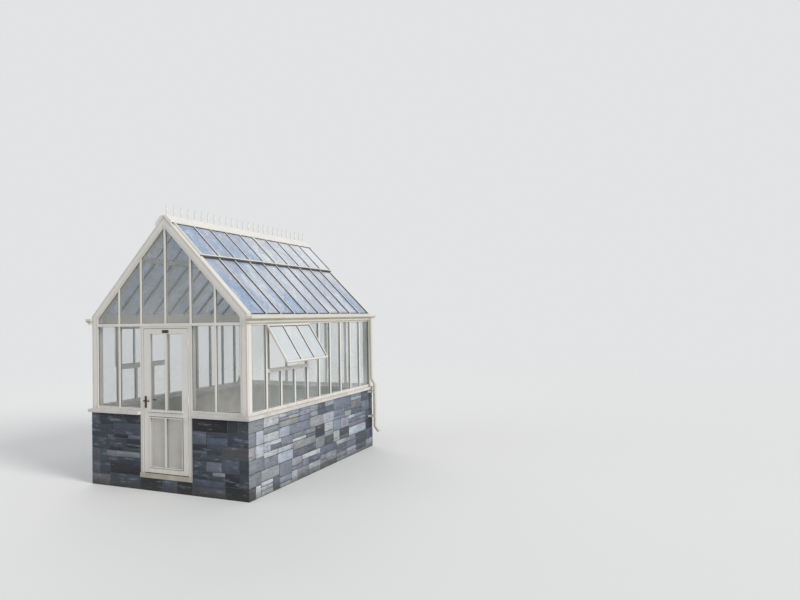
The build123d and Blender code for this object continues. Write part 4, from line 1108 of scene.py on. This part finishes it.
class GREENHOUSE_OT_fittings(bpy.types.Operator):
    """Adds the bare plate, the keyhole and the screws, and finishes the bronze"""
    bl_idname = "greenhouse.fittings"
    bl_label = "Fit hardware"

    def execute(self, context):
        settings = context.scene.greenhouse_fittings
        dark = tuple(settings.bronze)
        bronze = bronze_finish("bronze", dark, tuple(min(1.0, part * 2.2) for part in dark))
        dress(BRONZE_PARTS, bronze)
        half_w, half_h = settings.plate_width / 2, settings.plate_height / 2
        face, middle = LEAF[0].y + TOP_RAIL_BACK, LEAF[1].z - PLATE_DOWN
        right, up = (1, 0, 0), (0, 0, 1)
        rings = [(0, 0), (0, 0.0016), (0.0012, 0.0026), (0.004, 0.0028)]
        dome = [(0, 0), (0, 0.0004), (0.0012, 0.0013)]
        plate = [boss((0, face, middle), right, up, half_w, half_h, rings, 7.0, 48)]
        for side in (-1, 1):
            head = (side * (half_w - 0.009), face - 0.0026, middle)
            plate.append(boss(head, right, up, 0.0034, 0.0034, dome))
        worn = bronze_finish("plate_bronze", tone(58, 54, 52), tone(120, 112, 104))
        # the keyhole's black is painted shade in the hole
        keyhole_shade = bronze_finish("keyhole_painted_shade", tone(18, 17, 16), tone(30, 28, 26))
        paint = paint_finish("screw_paint", tone(196, 192, 180), 0.3, 0.4)
        keyholes, heads = handle_plate_details()
        shown("bare_plate", plate, "door", worn, False)
        shown("keyholes", keyholes, "door", keyhole_shade, False)
        shown("plate_screws", heads, "door", bronze)
        shown("bracket_screws", bracket_screws(), "house", paint)
        return {"FINISHED"}


class GREENHOUSE_OT_studio(bpy.types.Operator):
    """Sets the pale floor, the soft light and the camera"""
    bl_idname = "greenhouse.studio"
    bl_label = "Set studio"

    def execute(self, context):
        settings = context.scene.greenhouse_studio
        floor_disc()
        surround(settings)
        lamp("key_light", (0.90, -0.16, 0.48), settings.key_strength, 0.35, (1.0, 0.98, 0.94))
        lamp("fill_light", (-0.62, -0.55, 0.42), settings.fill_strength, 0.8, (0.90, 0.93, 1.0))
        lamp("back_light", (-0.62, 0.62, 0.45), settings.back_strength, 0.8, (1.0, 0.98, 0.95))
        house_camera()
        return {"FINISHED"}


class GREENHOUSE_PT_sidebar(bpy.types.Panel):
    """The greenhouse's steps and settings"""
    bl_label = "Greenhouse"
    bl_idname = "GREENHOUSE_PT_sidebar"
    bl_space_type = "VIEW_3D"
    bl_region_type = "UI"
    bl_category = "Greenhouse"

    def draw(self, context):
        for name, settings, steps in GROUPS:
            box = self.layout.box()
            for prop in settings.__annotations__:
                box.prop(getattr(context.scene, name), prop)
            for step in steps:
                box.operator(step.bl_idname)


# Studio.
def floor_disc():
    """A round floor that fades into the backdrop: radius r at angle t is (r cos t, r sin t, 0)."""
    finish = Finish("studio_floor")
    away = finish.node("ShaderNodeVectorMath", {"operation": "LENGTH"}, {0: finish.place}, "Value")
    plain = finish.node("ShaderNodeBsdfPrincipled", None, {
        "Base Color": (0.86, 0.86, 0.85),
        "Roughness": 0.9,
        "Specular IOR Level": 0.2,
    })
    gone = finish.node("ShaderNodeBsdfTransparent")
    faded = finish.node("ShaderNodeMixShader", None, {0: away.stepped(9.0, 26.0), 1: plain, 2: gone})
    sides = 96
    angle = np.arange(sides) * 2 * pi / sides
    radius = np.array((4.0, 9.0, 16.0, 27.0))[:, None]
    points = np.stack((radius * np.cos(angle), radius * np.sin(angle), 0 * radius * angle), axis=-1)
    points = np.vstack((points.reshape(-1, 3), (0.0, 0.0, 0.0)))
    faces = lattice(len(radius), sides, False, True)[:, ::-1].tolist()
    faces += [[now, (now + 1) % sides, len(radius) * sides] for now in range(sides)]
    floor = object_of("studio_floor", [(points, faces)], finish.finished(faded), False)


def surround(settings):
    """Even light all round, and a pale tone where the camera, gloss or glass sees past the floor."""
    sky = Finish("studio", bpy.data.worlds)
    rays = [
        sky.node("ShaderNodeLightPath", output=name)
        for name in ("Is Camera Ray", "Is Glossy Ray", "Is Transmission Ray")
    ]
    seen = rays[0].greater(rays[1]).greater(rays[2])
    light = sky.node("ShaderNodeBackground", None, {
        "Color": (0.93, 0.96, 1.0),
        "Strength": settings.sky_strength,
    })
    pale = sky.node("ShaderNodeBackground", None, {"Color": settings.backdrop})
    mixed = sky.node("ShaderNodeMixShader", None, {0: seen, 1: light, 2: pale})
    bpy.context.scene.world = sky.finished(mixed, "ShaderNodeOutputWorld")


def lamp(name, towards, strength, spread, colour):
    """A broad, even lamp that shines from a direction."""
    light = bpy.data.lights.new(name, "SUN")
    light.energy = strength
    light.angle = spread
    light.color = colour
    holder = bpy.data.objects.new(name, light)
    holder.rotation_euler = Vector(towards).to_track_quat("Z", "Y").to_euler()
    holder.location = Vector(towards) * 12
    bpy.context.scene.collection.objects.link(holder)


CAMERA_AT = (6.3004, -8.3964, 2.3578)
CAMERA_YAW = 0.3978      # turned to the left of straight on
CAMERA_PITCH = 0.0181
CAMERA_ROLL = -0.0167
IMAGE_WIDTH = 800
FOCAL_PIXELS = 617.06
MIDDLE_OFF = (1.61, 5.07)    # middle of the lens from the middle of the image, in pixels


def house_camera():
    """The camera of the photograph, worked out from the house's own edges."""
    yaw, pitch, roll = CAMERA_YAW, CAMERA_PITCH, CAMERA_ROLL
    forward = np.array((-sin(yaw) * cos(pitch), cos(yaw) * cos(pitch), sin(pitch)))
    level = np.array((cos(yaw), sin(yaw), 0.0))
    upward = np.cross(level, forward)
    right = level * cos(roll) + upward * sin(roll)
    up = -level * sin(roll) + upward * cos(roll)
    data = bpy.data.cameras.new("camera")
    data.sensor_width = 36.0
    data.lens = FOCAL_PIXELS / IMAGE_WIDTH * data.sensor_width
    data.shift_x = -MIDDLE_OFF[0] / IMAGE_WIDTH
    data.shift_y = MIDDLE_OFF[1] / IMAGE_WIDTH
    data.clip_end = 200.0
    camera = bpy.data.objects.new("camera", data)
    turned = Matrix(np.column_stack((right, up, -forward)).tolist())
    camera.matrix_world = Matrix.Translation(CAMERA_AT) @ turned.to_4x4()
    bpy.context.scene.collection.objects.link(camera)
    bpy.context.scene.camera = camera


# Settings and steps of each group, in the order in which they run.
GROUPS = (
    ("greenhouse_walls", WallSettings, (GREENHOUSE_OT_slate_walls, GREENHOUSE_OT_stonework)),
    ("greenhouse_paint", PaintSettings, (GREENHOUSE_OT_paint,)),
    ("greenhouse_glass", GlassSettings, (GREENHOUSE_OT_glaze,)),
    ("greenhouse_fittings", FittingSettings, (GREENHOUSE_OT_fittings,)),
    ("greenhouse_studio", StudioSettings, (GREENHOUSE_OT_studio,)),
)
STEPS = [step for name, settings, steps in GROUPS for step in steps]


def register():
    for name, settings, steps in GROUPS:
        for kind in (settings, *steps):
            bpy.utils.register_class(kind)
        setattr(bpy.types.Scene, name, PointerProperty(type=settings))
    bpy.utils.register_class(GREENHOUSE_PT_sidebar)


def unregister():
    bpy.utils.unregister_class(GREENHOUSE_PT_sidebar)
    for name, settings, steps in reversed(GROUPS):
        delattr(bpy.types.Scene, name)
        for kind in (*reversed(steps), settings):
            bpy.utils.unregister_class(kind)


def main():
    """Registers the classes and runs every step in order."""
    register()
    scene = bpy.context.scene
    scene.view_settings.view_transform = "Standard"
    for step in STEPS:
        group, name = step.bl_idname.split(".")
        getattr(getattr(bpy.ops, group), name)()


if __name__ == "__main__":
    main()
